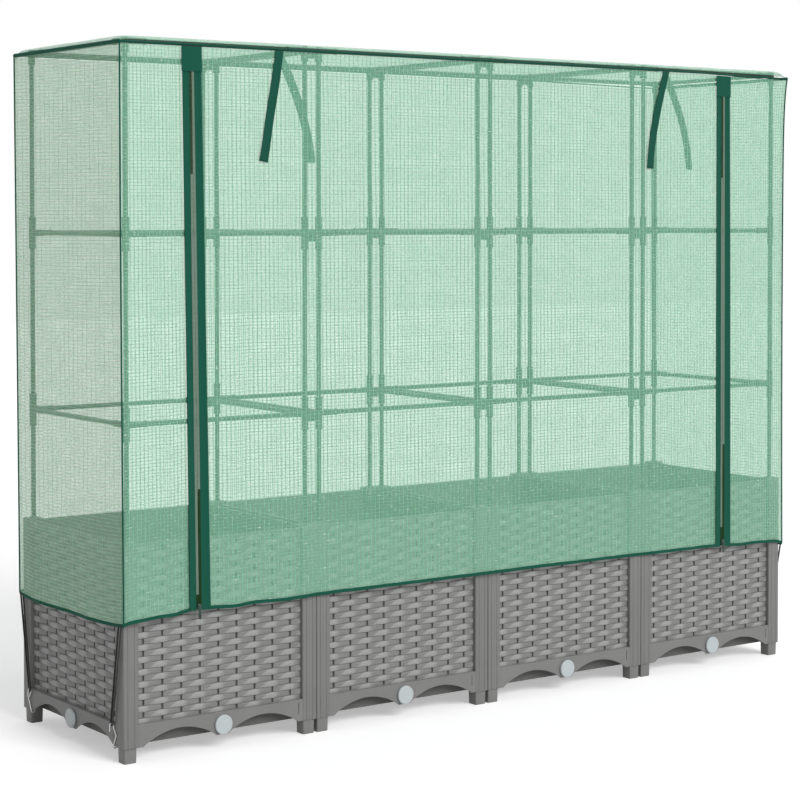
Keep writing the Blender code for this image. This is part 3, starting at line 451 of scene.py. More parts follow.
def plastic_finish(name, light, dark, roughness, streaks=0.0, gloss=0.42):
    """Moulded plastic: grained, mottled, with painted highlight where its attribute of painted light is high
    and painted shade where it is low.

    Streaks run along UV's V, strongest on the painted highlight.
    """
    g = finish_graph(name, Specular_IOR_Level=gloss)
    grain = g.noise("Object", 900, 3.0)
    cloud = g.noise("Object", 14)
    lift = g.add("ShaderNodeAttribute", {}, "Fac", attribute_name="lift")
    streak = g.noise("UV", (460, 130, 1), 3.0, 0.6)
    streaks_on_highlight = g.range(lift, PLAIN_PAINTED_LIGHT, PLAIN_PAINTED_LIGHT + 0.5, 0.25 * streaks, 1.5 * streaks)
    share = g.math("ADD", lift, g.range(grain, 0.25, 0.75, -0.05, 0.05))
    share = g.math("ADD", share, g.range(cloud, 0.3, 0.7, -0.03, 0.03))
    share = g.math("MULTIPLY_ADD", g.range(streak, 0.25, 0.75, -1.0, 1.0), streaks_on_highlight, share)
    g.set("Base Color", g.blend(g.range(share, 0, 1), shade(dark, 1), shade(light, 1)))
    g.set("Roughness", g.range(grain, 0.2, 0.8, roughness - 0.06, roughness + 0.08))
    g.bump(g.math("MULTIPLY_ADD", streak, 2.5 * streaks, grain), 0.00022, 0.6)
    return g.owner


def film_finish(name, film, yarn, mesh, haze, cover, inner=None):
    """Clear film over a net, with nearly solid threads every mesh along U and V.

    haze and cover are the film's and the threads' alpha. Small white spots of painted highlight, more opaque,
    stand for glints where the film is crumpled. inner holds painted shade: the film's and the threads'
    colours on faces that look forwards, the back wall's inner side, which hangs in its own shade.
    """
    core, edge = 0.023, 0.073  # from a thread's middle to where it starts and ends to fade, in meshes
    g = finish_graph(name, Roughness=0.34, Specular_IOR_Level=0.35)
    net = g.add("ShaderNodeSeparateXYZ", {"Vector": g.space("UV", (1 / mesh, 1 / mesh, 1))}).node
    lines = []
    for axis in ("X", "Y"):
        away = g.math("ABSOLUTE", g.math("SUBTRACT", g.math("FRACT", net.outputs[axis]), 0.5))
        lines.append(g.range(away, core, edge, 1.0, 0.0, smooth=True))
    thread = g.math("MAXIMUM", *lines)
    uneven = g.noise("UV", (30, 30, 1))
    slub = g.noise("UV", (420, 90, 1))
    clear = g.blend(g.range(uneven, 0.3, 0.7), shade(film, 0.92), shade(film, 1.0))
    dark = g.blend(g.range(slub, 0.3, 0.7), shade(yarn, 0.8), shade(yarn, 1.35))
    if inner:
        # Faces that look forwards, the back wall's inner side, take the painted shade colours
        facing = g.add("ShaderNodeSeparateXYZ", {"Vector": g.add("ShaderNodeTexCoord", {}, "Normal")}, "Y")
        inside = g.math("LESS_THAN", facing, 0.0)
        clear, dark = [g.blend(inside, outer, shade(own, 1.0)) for outer, own in zip((clear, dark), inner)]
    # Small white spots of painted highlight: glints of crumpled film
    glint = g.range(g.noise("UV", (150, 400, 1)), 0.62, 0.74)
    g.set("Base Color", g.blend(g.math("MULTIPLY", glint, 0.8), g.blend(thread, clear, dark), (1, 1, 1, 1)))
    glints_and_patches = g.math("MULTIPLY_ADD", glint, 0.18, g.range(uneven, 0.3, 0.7, 0.02, -0.02))
    g.set("Alpha", g.math("ADD", g.range(thread, 0.0, 1.0, haze, cover), glints_and_patches))
    g.bump(g.math("ADD", thread, g.math("MULTIPLY", uneven, 0.6)), 0.0003, 0.5)
    return g.owner


def tape_finish(name, colour, across=1400.0, ribs=700.0, roughness=0.72):
    """Woven tape: fine ribs across U crossed by threads along V, with a little fuzz."""
    g = finish_graph(name, Sheen_Weight=0.04, Sheen_Roughness=0.5, Specular_IOR_Level=0.10)
    cloth = g.math("MULTIPLY", g.wave((across, 1, 1), "X"), g.wave((1, ribs, 1), "Y"))
    fuzz = g.noise("Object", 600, 3.0)
    share = g.math("ADD", g.math("MULTIPLY", cloth, 0.5), g.range(fuzz, 0.3, 0.7, 0.0, 0.5))
    g.set("Base Color", g.blend(share, shade(colour, 0.80), shade(colour, 1.22)))
    g.set("Roughness", g.range(fuzz, 0.2, 0.8, roughness - 0.08, roughness + 0.1))
    g.bump(cloth, 0.00018, 0.7)
    return g.owner


def painted_finish(name, colour, metallic, roughness):
    """Coated metal or smooth moulding: a fine orange peel and faint wear."""
    g = finish_graph(name, Metallic=metallic, Specular_IOR_Level=0.5)
    wear = g.noise("Object", 45, 4.0, 0.65)
    g.set("Base Color", g.blend(g.range(wear, 0.35, 0.7), shade(colour, 0.9), shade(colour, 1.14)))
    g.set("Roughness", g.range(wear, 0.3, 0.7, roughness - 0.05, roughness + 0.12))
    g.bump(g.noise("Object", 1300), 0.0001, 0.5)
    return g.owner


def wire_finish(name, colour, roughness):
    """Galvanised wire: bright metal with a spangle and drawing lines along V."""
    g = finish_graph(name, Metallic=1.0)
    drawn = g.noise("UV", (2500, 60, 1))
    g.set("Base Color", g.blend(g.noise("Object", 500, 3.0), shade(colour, 0.72), shade(colour, 1.2)))
    g.set("Roughness", g.range(drawn, 0.25, 0.75, roughness - 0.1, roughness + 0.12))
    g.bump(drawn, 0.00008, 0.5)
    return g.owner


def braid_finish(name, colour, strand_width=0.0022):
    """Braided elastic: two sets of slanting strands, the sines of U + V and of U - V."""
    g = finish_graph(name, Sheen_Weight=0.3, Sheen_Roughness=0.5, Specular_IOR_Level=0.2)
    turns = g.space("UV", (2 * math.pi / strand_width,) * 3)
    u, v = g.add("ShaderNodeSeparateXYZ", {"Vector": turns}).node.outputs[:2]
    strand = g.math("MAXIMUM", *[g.math("SINE", g.math(way, u, v)) for way in ("ADD", "SUBTRACT")])
    fuzz = g.noise("Object", 900)
    share = g.math("ADD", g.range(strand, -0.2, 1.0, 0.0, 0.7), g.range(fuzz, 0.3, 0.7, 0.0, 0.3))
    g.set("Base Color", g.blend(share, shade(colour, 0.5), shade(colour, 1.9)))
    g.set("Roughness", g.range(fuzz, 0.2, 0.8, 0.7, 0.95))
    g.bump(strand, 0.0004, 0.9)
    return g.owner


FINISHES = {}


def finishes():
    """The finishes by name, made once."""
    if not FINISHES:
        c = bpy.context.scene.planter_colours
        mesh = bpy.context.scene.planter_cover.mesh
        # The painted shade colours of the back wall's inner side
        inner = (c.back_film_painted_shade, c.back_thread_painted_shade)
        FINISHES.update({
            "plastic": plastic_finish("planter_plastic_painted_light", c.plastic_highlight, c.plastic_shade, 0.50, 0.14),
            "tray": plastic_finish("tray_plastic", shade(c.tray, 1.4)[:3], shade(c.tray, 0.8)[:3], 0.6),
            "disc": plastic_finish("disc_plastic", shade(c.disc, 1.06)[:3], shade(c.disc, 0.95)[:3], 0.42),
            "tube": painted_finish("coated_tube", c.tube, 0.0, 0.32),
            "connector": painted_finish("moulded_connector", c.connector, 0.0, 0.5),
            "film": film_finish("netted_film", c.film, c.thread, mesh, 0.21, 0.78),
            # The end walls' paler film and brighter threads are painted light
            "end_film_painted_light": film_finish("netted_end_film_painted_light", c.end_film_painted_light, c.end_thread_painted_light, mesh, 0.22, 0.70),
            "back_film_painted_shade": film_finish("netted_back_film_painted_shade", c.film, c.thread, mesh, 0.18, 0.45, inner),
            "trim": tape_finish("bound_trim", c.trim),
            "zip_tape": tape_finish("zip_tape_weave", shade(c.trim, 1.04)[:3], 1800.0, 900.0),
            "ribbon": tape_finish("tie_ribbon", c.ribbon, 1200.0, 1800.0, 0.6),
            "coil": plastic_finish("zip_coil_with_shade", c.coil, c.coil_shade, 0.6, 0.0, 0.08),
            "metal": painted_finish("painted_slider", c.metal, 0.2, 0.36),
            "wire": wire_finish("galvanised_wire", c.wire, 0.34),
            "cord": braid_finish("braided_elastic", c.cord),
        })
    return FINISHES


# Boxes

def box_centre(b, index):
    """The middle of a box along the row."""
    return (index - (b.count - 1) / 2) * b.pitch


def on_box(b, index, turns):
    """From a side's own view to the row: (s, d, z) becomes (s, d - half, z), turned in quarters."""
    cos, sin = QUARTERS[turns]

    def change(points):
        s, d, z = points.T
        d = d - b.size / 2
        return np.stack([s * cos - d * sin + box_centre(b, index), s * sin + d * cos, z], 1)

    return change


def post_part(b):
    """A square column with chamfered corners and two fine grooves down each face."""
    half = b.post / 2
    chamfer = 0.0012
    groove, wide, deep = half * 0.44, 0.0006, 0.0007
    along = [-half + chamfer, -groove - wide, -groove, -groove + wide, groove - wide, groove, groove + wide,
             half - chamfer]
    face = np.column_stack([along, -half + deep * np.array([0, 0, 1, 0, 0, 1, 0, 0])])
    outline = np.concatenate([face @ np.array([[cos, sin], [-sin, cos]]) for cos, sin in QUARTERS])
    levels = ((b.foot_height, 0.975), (b.foot_height + 0.0008, 1.0), (b.post_top - 0.001, 1.0),
              (b.post_top, 0.94))
    return lofted(outline, levels, (-b.size / 2 + half, half))


def collar_part(b, f):
    """The raised ring round the tube on top of a post."""
    centre = (-b.size / 2 + b.post / 2, b.post / 2, b.post_top - 0.001)
    ring = ((0.0003, 0.0), (0.0032, 0.0), (0.0032, 0.0022), (0.0024, 0.0030), (0.0009, 0.0030),
            (0.0003, 0.0024))
    return turned([(f.tube + out, up) for out, up in ring], centre, (1, 0, 0), (0, 1, 0), 20)


def foot_part(b):
    """A foot with chamfered corners, narrowed a little at the ground."""
    centre = np.array([-b.size / 2 + b.foot_inset + b.foot / 2, b.foot_inset + b.foot / 2])
    levels = ((0.0, 0.92), (0.0010, 0.95), (b.foot_height + 0.001, 1.0))
    return lofted(rounded(b.foot, b.foot, 0.0018, 2), levels, centre)


def arch_rise(b, s):
    """Height of the rail's lower edge over its foot line: sin(pi share) to the power 0.8 in each arch."""
    inner = b.arch_post / 2
    width = b.size / 2 - b.post - b.arch_margin - inner
    share = np.clip((np.abs(s) - inner) / width, 0, 1)
    return b.arch_height * np.maximum(np.sin(np.pi * share), 0) ** 0.8


def rail_part(b):
    """The bottom rail and its ledge: a section carried along s, its lower edge following the arches.

    A short slit is cut in the face beside the right post.
    """
    face, slit_depth = 0.0005, 0.0016
    left = -b.size / 2 + b.post - 0.002
    right = b.size / 2 - b.post + 0.002
    slit = right - 0.0105
    slit_lines = slit + np.array([-0.0007, -0.0004, 0.0004, 0.0007])
    s = np.unique(np.concatenate([np.linspace(left, right, 120), slit_lines]))
    cut = np.where(np.abs(s - slit) < 0.0005, slit_depth, 0.0)
    low = b.foot_height + arch_rise(b, s)
    top = b.rail_top
    ledge_low = top - b.rail_wall
    section = [(face + set_back, low + (top - low) * share) for share, set_back in (
        (0.0, 0.0007), (0.02, 0.0), (0.34, 0.0), (0.36, cut), (0.84, cut), (0.86, 0.0), (0.975, 0.0),
        (1.0, 0.0009))]
    section += [(b.ledge, top), (b.ledge, ledge_low), (b.rail_wall, ledge_low), (b.rail_wall, low)]
    rows = [np.column_stack(np.broadcast_arrays(s, depth, z)) for depth, z in section]
    return surface(np.stack(rows, 1), closed_u=True, caps=True)


def weave_part(b, fine):
    """The woven plate: a loop up the front and down the back, carried along s.

    With a = (s - first column) / column pitch, strand r crosses over where a + r is even. It stands out by
    rise * cos(pi w / 2) ** 1.5, where w = a + r + 0.2 cos(pi (a + r) / 2) ** 2 brings the crest to the left,
    crowned over its height, and its edges wander towards the strands that dive. Where it dives it is cut
    by a narrow slot, darkened with painted shade. A leaf of painted highlight starts low on the left of each
    crossing, widens over the strand and fades to the right; a painted shadow darkens the groove between
    strands under it. The back has level ribs.
    """
    slot_edge, slot_floor, slot_slope = 0.062, 0.045, 0.017  # shares of a column's pitch
    edge = wander_by = 0.0004
    groove_depth, rib, chamfer, rim_in, seat = 0.0010, 0.0006, 0.0006, 0.0016, 0.001
    half = b.size / 2
    left = -half + b.post - 0.002
    right = half - b.post + 0.0035
    near = [-0.5, -0.36, -0.22, -0.12] if fine else [-0.5, -0.25]
    offsets = [*near, -slot_edge, -slot_floor, slot_floor, slot_edge, *[-place for place in near[:0:-1]]]
    first = -half + b.first_column
    count = int(round((right - first) / b.columns)) + 1
    a = (np.arange(-1, count + 1)[:, None] + np.array(offsets)[None]).ravel()
    s = first + a * b.columns
    s = np.unique(np.concatenate([[left], s[(s > left + 0.0005) & (s < right - 0.0005)], [right]]))
    a = ((s - first) / b.columns)[:, None, None]
    rows = int((b.panel_top - b.rail_top) / b.rows)
    r = np.arange(rows)[None, :, None]
    share = np.array([0.0, 0.10, 0.32, 0.68, 0.90, 1.0] if fine else [0.0, 0.12, 0.88, 1.0])[None, None]

    over = np.abs(np.cos(np.pi * (a + r + 0.2 * np.cos(np.pi * (a + r) / 2) ** 2) / 2))
    wander = wander_by * np.cos(np.pi * (a + r))
    start = b.rail_top - b.tucked
    low = start + r * b.rows - wander + edge
    high = start + (r + 1) * b.rows + wander - edge
    crown = 1.0 - 0.42 * np.abs(2 * share - 1) ** 3
    nearest = np.rint(a)
    dives = (nearest + r) % 2 == 1
    slot = np.clip((slot_edge - np.abs(a - nearest)) / slot_slope, 0, 1) * dives
    # leaf is the painted highlight of each crossing; under marks where the groove lies below the leaf of the
    # strand above and gets a painted shadow
    along = (a + r + 1) % 2 - 1
    fade = 1 - smooth((along + 0.05) / 0.45)
    highlight_leaf = np.clip((smooth((along + 0.78) / 0.62) - share) / 0.3 + 0.5, 0, 1) * fade
    above = (a + r) % 2 - 1
    under = smooth((above + 0.85) / 0.25) * (1 - smooth((above - 0.25) / 0.5))

    # Each strand's lines are followed by one line of groove at its upper edge.
    flat = np.zeros((len(s), rows, 1))
    # Along with its height, each line carries painted light: painted highlight on the leaf, painted shade in
    # a slot, and painted shadow in the groove under a leaf
    strand = (low + (high - low) * share, b.rise * over ** 1.5 * crown - b.slot_depth * slot,
              np.clip(PLAIN_PAINTED_LIGHT + 0.04 + 0.66 * highlight_leaf * (0.5 + 0.5 * crown) - 0.9 * slot, 0, 1))
    groove = (start + (r + 1) * b.rows + wander, flat - groove_depth, PLAIN_PAINTED_LIGHT * (1 - 0.85 * under))
    z, height, lift = [np.concatenate([line, flat + between], 2).reshape(len(s), -1)
                       for line, between in zip(strand, groove)]

    def column(value):
        """One value for every place along s."""
        return np.full((len(s), 1), value)

    ribs = np.linspace(b.panel_top, start - seat, 2 * rows + 1)
    wave = b.plate_back + rib * (np.arange(2 * rows + 1) % 2)
    rim = b.recess - rim_in
    plain = column(PLAIN_PAINTED_LIGHT)
    z = np.hstack([column(start - seat), z, z[:, -1:] + 0.0003, column(b.panel_top - chamfer),
                   column(b.panel_top), np.tile(ribs, (len(s), 1))])
    depth = np.hstack([column(b.recess), b.recess - height, column(rim), column(rim), column(rim + chamfer),
                       np.tile(wave, (len(s), 1))])
    lift = np.hstack([plain, lift, plain, plain, plain, np.tile(plain, (1, len(ribs)))])
    across = np.broadcast_to(s[:, None], z.shape)
    return surface(np.stack([across, depth, z], 2), closed_u=True, caps=True, lift=lift)


def disc_part(b, shank):
    """A drain disc: a round with a soft rim and a faint step, on a shank that reaches into the box."""
    r, proud = b.disc, b.disc_proud
    profile = [(0.006, -shank), (0.007, -shank + 0.001), (0.007, FIT), (r - 0.0006, FIT), (r, FIT + 0.0006),
               (r, proud - 0.0016), (r - 0.0004, proud - 0.0006), (r - 0.0016, proud), (r - 0.0036, proud),
               (r - 0.0042, proud - 0.0005), (r - 0.0060, proud - 0.0005), (0.0040, proud - 0.0003)]
    return turned(profile, (0, 0, b.disc_level), (1, 0, 0), (0, 0, 1), 56)


def side_names(b):
    """(piece, node, box index, quarter turns, whether the side faces out) for every side of every box."""
    rows = []
    for i in range(b.count):
        rows.append((f"woven_front_{i + 1}", f"front_panel_{i + 1}", i, 0, True))
        rows.append((f"woven_back_{i + 1}", f"back_panel_{i + 1}", i, 2, True))
    rows.append(("woven_left_end", "left_end_panel", 0, 3, True))
    rows.append(("woven_right_end", "right_end_panel", b.count - 1, 1, True))
    for i in range(b.count - 1):
        rows.append((f"woven_inner_{2 * i + 1}", f"inner_panel_{2 * i + 1}", i, 1, False))
        rows.append((f"woven_inner_{2 * i + 2}", f"inner_panel_{2 * i + 2}", i + 1, 3, False))
    return rows


class PLANTER_OT_boxes(Operator):
    """Builds the woven sides of the boxes, each with its post, foot, rail and ledge"""

    bl_idname = "planter.boxes"
    bl_label = "Planter Boxes"

    def execute(self, context):
        b = context.scene.planter_boxes
        f = context.scene.planter_frame
        common = [post_part(b), collar_part(b, f), foot_part(b), rail_part(b)]
        weave = {True: weave_part(b, True), False: weave_part(b, False)}
        moulded_disc = disc_part(b, 0.001)
        for piece, node, index, turns, outer in side_names(b):
            parts = common + [weave[outer]] + ([moulded_disc] if turns == 2 and outer else [])
            place = on_box(b, index, turns)
            make_piece(piece, [moved(part, place) for part in parts], finishes()["plastic"], "root",
                       [node])
        for i in range(b.count):
            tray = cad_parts[f"base_tray_{i + 1}"]
            tray.data.materials.clear()
            tray.data.materials.append(finishes()["tray"])
        return {"FINISHED"}


class PLANTER_OT_plugs(Operator):
    """Builds the drain plugs that pull out"""

    bl_idname = "planter.plugs"
    bl_label = "Drain Plugs"

    def execute(self, context):
        b = context.scene.planter_boxes
        plug = disc_part(b, 0.0275)
        places = [(f"front_{i + 1}", i, 0) for i in range(b.count)]
        places += [("left_end", 0, 3), ("right_end", b.count - 1, 1)]
        for label, index, turns in places:
            node = f"drain_plug_{label}"
            make_piece(f"plug_disc_{label}", [moved(plug, on_box(b, index, turns))], finishes()["disc"], node,
                       [node])
        return {"FINISHED"}


# Tube frame

def upright_places(b, f):
    """(x, y, which way x leads out of the box, which way y does) of every upright."""
    return [(box_centre(b, i) + x * f.offset, y * f.offset, x, y) for i in range(b.count) for x in (-1, 1)
            for y in (-1, 1)]


def storey_parts(b, f, start, level, top):
    """The tubes and the connectors of one storey; the top storey's sleeves are closed over."""
    high = level + f.sleeve if top else level + f.sleeve_length / 2
    low = high - f.top_sleeve if top else level - f.sleeve_length / 2
    body = high - low
    bore, skin, lip = f.tube + 0.0002, f.sleeve - 0.0003, f.sleeve + 0.0006 - 0.0003
    sleeve = [(0, 0, bore), (0, 0, f.sleeve - 0.0002), (0, 0.0008, lip), (0, 0.0040, lip), (0, 0.0048, skin)]
    if top:
        sleeve += [(0, body - 0.0016, skin), (0, body, f.sleeve - 0.0018), (0, body, 0.001)]
    else:
        sleeve += [(0, body - stop[1], stop[2]) for stop in reversed(sleeve)]
    arm = [(0, 0, f.arm - 0.0002), (0, 0.012, f.arm - 0.0002), (1, -0.0050, f.arm - 0.0010),
           (1, -0.0044, f.arm), (1, -0.0006, f.arm), (1, 0, f.arm - 0.0006), (1, 0, bore)]
    rod = [(0, 0, f.tube), (1, 0, f.tube)]
    tubes, joints = [], []
    for x, y, to_x, to_y in upright_places(b, f):
        tubes.append(straight((x, y, start), (x, y, high - 0.002), rod, 20))
        joints.append(straight((x, y, low), (x, y, high), sleeve, 24))
        joints.append(straight((x, y, level), (x - to_x * f.reach, y, level), arm, 20))
        joints.append(straight((x, y, level), (x, y - to_y * f.reach, level), arm, 20))
    inside = f.offset - f.reach + 0.004
    for i in range(b.count):
        centre = box_centre(b, i)
        for side in (-1, 1):
            x, y = centre + side * f.offset, side * f.offset
            tubes.append(straight((centre - inside, y, level), (centre + inside, y, level), rod, 20))
            tubes.append(straight((x, -inside, level), (x, inside, level), rod, 20))
    # Short plates tie the uprights of neighbouring boxes.
    half = b.pitch / 2 - f.offset - f.tube
    plate = rounded(0.0045, 0.020, 0.0012, 2)
    for i in range(b.count - 1):
        middle = box_centre(b, i) + b.pitch / 2
        for y in (-f.offset, f.offset):
            path = np.array([(middle - half, y, level - 0.005), (middle + half, y, level - 0.005)])
            joints.append(swept(plate, path, (0, 0, 1)))
    return tubes, joints


class PLANTER_OT_frame(Operator):
    """Builds the tubes and the connectors of the three storeys"""

    bl_idname = "planter.frame"
    bl_label = "Tube Frame"

    def execute(self, context):
        b = context.scene.planter_boxes
        f = context.scene.planter_frame
        start = b.post_top - f.socket + FIT
        for label, level in (("lower", f.lower), ("middle", f.middle), ("top", f.top)):
            tubes, joints = storey_parts(b, f, start, level, label == "top")
            node = f"{label}_frame"
            make_piece(f"tubes_{label}", tubes, finishes()["tube"], "root", [node])
            make_piece(f"connectors_{label}", joints, finishes()["connector"], "root", [node])
            start = level + f.arm + 0.001
        return {"FINISHED"}


# Cover

def half_run(c, side, z):
    """Half the width of a wall at a height, from seam to seam."""
    drop = (c.roof_edge - z) / (c.roof_edge - c.hem_corner)
    top, hem = (c.roof_length, c.hem_length) if side in ("front", "back") else (c.roof_width, c.hem_width)
    return (top + (hem - top) * drop) / 2


def film_top(c):
    """Height where the walls, tapes and ribbons meet the seam's cord."""
    return c.roof_edge - c.piping - FIT


def smooth(share):
    """From 0 to 1 with level ends: 3 s^2 - 2 s^3."""
    share = np.clip(share, 0, 1)
    return share * share * (3 - 2 * share)


def seam_droop(c, x, start=0.38, run=0.42):
    """How far the roof's seam hangs down, growing over a run along the row towards the right end."""
    return c.droop * smooth((x - start) / run)


def settled(c, points):
    """The cover as it hangs, with exp(-drop / fall) of its seam's shape left at a drop below the seam.

    The right end is drawn in over a run along the row and free again at the hem, the seam's droop fades
    downwards, and the front left corner is swung forward, more and more from a height down to the hem.
    """
    drawn_fall, droop_fall = 0.05, 0.25
    drawn_start, drawn_run = 0.66, 0.14
    corner_x, corner_y, corner_reach = -0.804, -0.205, 0.07
    swing_top, swing_run = 0.95, 0.69
    x, y, z = np.moveaxis(points, -1, 0)
    drop = np.maximum(c.roof_edge - z, 0)
    share = drop / (c.roof_edge - c.hem_corner)
    drawn = c.drawn_in * (1 - np.exp(-drop / drawn_fall)) * np.clip(1 - share ** 2, 0, 1)
    drawn = drawn * smooth((x - drawn_start) / drawn_run)
    near = np.exp(-((x - corner_x) / corner_reach) ** 2 - ((y - corner_y) / corner_reach) ** 2)
    swing = c.corner_swing * near * np.clip((swing_top - z) / swing_run, 0, 1)
    return np.stack([x - drawn, y - swing, z - seam_droop(c, x) * np.exp(-drop / droop_fall)], -1)


def wall_xyz(c, side, along, z, out=0.0):
    """A point of a wall: along runs left to right seen from outside, out is the distance outwards."""
    along, z, out = np.broadcast_arrays(along, z, out)
    length = half_run(c, "front", z) + out
    width = half_run(c, "left", z) + out
    places = {"front": (along, -width, z), "back": (-along, width, z), "left": (-length, -along, z),
              "right": (length, along, z)}
    return settled(c, np.stack(places[side], -1))


WALLS = ("front", "right", "back", "left")

# The UV map's stretch across and up each wall and the front's strips, which sets the net's mesh there
NET_STRETCH = {"front": (0.66, 1.0), "back": (0.66, 1.0), "left": (1.05, 0.93), "right": (1.05, 0.93),
               "strip": (0.84, 1.0)}

# How far the front hem dips below its level: (place along the front, dip)
HEM_WAVES = ((-0.800, -0.0024), (-0.785, 0.0020), (-0.764, 0.0048), (-0.735, 0.0034), (-0.705, 0.0058),
             (-0.688, 0.0028), (-0.672, 0.0006), (-0.652, 0.0), (-0.617, 0.0010), (-0.576, 0.0038),
             (-0.540, 0.0), (-0.470, 0.0027), (-0.405, 0.0004), (-0.250, 0.0), (-0.130, 0.0008),
             (0.000, 0.0), (0.100, 0.0005), (0.250, 0.0), (0.380, 0.0014), (0.500, 0.0014),
             (0.560, 0.0022), (0.625, 0.0034), (0.650, 0.0050), (0.682, 0.0074), (0.705, 0.0054),
             (0.752, 0.0056), (0.775, 0.0040), (0.800, 0.0))


def hem_z(c, side, along):
    """Height of the hem's lower edge: level along a wall, dropping by exp(-inwards / decay) to the corners.

    The front's waves are the mean of their table just before, at and just after a place. The left wall's
    hem rises over a run towards the front corner.
    """
    near, lift_start, lift_run = 0.008, 0.02, 0.16
    middle = c.hem_front if side in ("front", "back") else c.hem_end
    inwards = np.maximum(half_run(c, side, c.hem_front) - np.abs(along), 0)
    low = middle - (middle - c.hem_corner) * np.exp(-inwards / c.hem_decay)
    if side == "front":
        places, dips = np.array(HEM_WAVES).T
        low = low - sum(share * np.interp(along + step, places, dips)
                        for step, share in ((-near, 0.25), (0.0, 0.5), (near, 0.25)))
    if side == "left":
        low = low + c.corner_lift * smooth((along - lift_start) / lift_run)
    return low


def zip_x(c, t, which, z):
    """The middle of a zip at a height."""
    drop = (c.roof_edge - z) / (c.roof_edge - c.hem_front)
    top = (t.zip_top_left, t.zip_top_right)[which]
    low = (t.zip_hem_left, t.zip_hem_right)[which]
    return top + (low - top) * drop


def fold_out(c, along, z, share, folds, seed):
    """How far a hanging wall stands out: folds of sin(pi folds share) ** 2 that deepen to the hem, creases
    from products of sines, which seed shifts, and a ruffle of sines near the hem; none at the wall's edges.
    Inward creases are shallower over the boxes, which the film touches.
    """
    crease_depth, ruffle_depth, ruffle_height = 0.0010, 0.0007, 0.10
    clear_level, clear_run, touching = 0.40, 0.10, 0.35
    drop = np.clip((c.roof_edge - z) / (c.roof_edge - c.hem_corner), 0, 1)
    swell = c.fold * np.sin(np.pi * folds * share) ** 2 * drop
    held = np.clip(np.minimum(share, 1 - share) * folds * 2.2, 0, 1)
    p = 1.7 * seed
    crease = (np.sin(23 * along + 9 * z + p) * np.sin(7.1 * z - 3.3 * along + 2 * p)
              + 0.7 * np.sin(41 * along - 17 * z + 3 * p) * np.sin(5.3 * z + 11 * along + p)
              + 0.45 * np.sin(83 * along + 37 * z + 5 * p) * np.sin(13 * along - 6 * z + p))
    near_hem = np.exp(-((z - c.hem_corner) / ruffle_height) ** 2)
    ruffle = near_hem * (np.sin(118 * along + p) + 0.6 * np.sin(67 * along + 2 * p))
    clear = np.clip((z - clear_level) / clear_run, 0, 1)
    creases = held * (crease_depth * crease + ruffle_depth * ruffle)
    return swell + np.where(creases < 0, creases * (touching + (1 - touching) * clear), creases)


def wall_lines(c, left, right, spacing):
    """Shares of the way along a wall, about spacing apart at the hem, and the places there."""
    start, width = left(c.hem_front), right(c.hem_front) - left(c.hem_front)
    share = np.linspace(0, 1, max(8, int(width / spacing)) + 1)
    return share, start + width * share


def wall_places(c, side, left, right, rows=110):
    """Along, height and share across for a grid on a wall, from the hem's binding up to the seam."""
    share, low_along = wall_lines(c, left, right, 0.009)
    low = (hem_z(c, side, low_along) + c.binding * 0.6)[None]
    z = low + (film_top(c) - low) * np.linspace(0, 1, rows + 1)[:, None]
    return left(z) + (right(z) - left(z)) * share[None], z, share[None]


def corner_edge(c, side, sign):
    """A wall's edge at a corner seam, as a function of height."""
    return lambda z: sign * (half_run(c, side, z) - c.seam / 2 - FIT)


def zip_edge(c, t, which, sign):
    """The film's edge beside a zip's tape, as a function of height."""
    return lambda z: zip_x(c, t, which, z) + sign * (t.tape + FIT)


def wall_table(c, t):
    """name: (side, left edge, right edge, folds, node)."""
    edge = {side: [corner_edge(c, side, sign) for sign in (-1, 1)] for side in WALLS}
    (door_left, strip_left), (strip_right, door_right) = [
        [zip_edge(c, t, which, sign) for sign in (1, -1)] for which in (0, 1)]
    return {
        "film_front_right": ("front", strip_right, edge["front"][1], 1, "cover_front_right_strip"),
        "film_right": ("right", *edge["right"], 2, "cover_right_wall"),
        "film_back": ("back", *edge["back"], 6, "cover_back_wall"),
        "film_left": ("left", *edge["left"], 2, "cover_left_wall"),
        "film_front_left": ("front", edge["front"][0], strip_left, 1, "cover_front_left_strip"),
        "film_door": ("front", door_left, door_right, 5, "door_panel"),
    }


def roof_part(c):
    """The roof: z = edge + crown * roll(dx) * roll(dy), where roll(d) = 1 - exp(-d / roll length), with low
    creases of sines that end near its edges.
    """
    crease_depth, edge_run = 0.0006, 0.05

    def lines(length, spacing=0.012, near=0.045):
        """Places from end to end, closer together near the ends."""
        edge = length / 2 - c.piping - FIT - near * np.linspace(0, 1, 16) ** 2
        middle = np.linspace(-edge[-1], edge[-1], int(length / spacing))[1:-1]
        return np.unique(np.concatenate([-edge, middle, edge]))

    x = lines(c.roof_length)[None]
    y = lines(c.roof_width)[:, None]
    dx = c.roof_length / 2 - np.abs(x)
    dy = c.roof_width / 2 - np.abs(y)
    roll = (1 - np.exp(-dx / c.roll)) * (1 - np.exp(-dy / c.roll))
    held = np.clip(np.minimum(dx, dy) / edge_run, 0, 1)
    crease = np.sin(31 * x + 12 * y) * np.sin(5 * x - 23 * y) + 0.5 * np.sin(67 * x - 31 * y)
    z = c.roof_edge + c.crown * roll + crease_depth * held * crease - seam_droop(c, x) * (1 - roll)
    return surface(np.stack(np.broadcast_arrays(x, y, z), -1))


def hem_section(c):
    """The binding's section as (out, share of its height): a folded tape, rounded at the bottom."""
    half = c.binding_depth / 2
    angle = np.linspace(0, np.pi, 5)
    bottom = np.stack([half * np.cos(angle), 0.10 - 0.10 * np.sin(angle)], 1)
    upper = np.array([(-half, 0.70), (-half * 0.8, 0.76), (-half, 0.82), (-half, 0.97), (-half * 0.5, 1.0)])
    return np.concatenate([bottom, upper, (upper * (-1, 1))[::-1]])


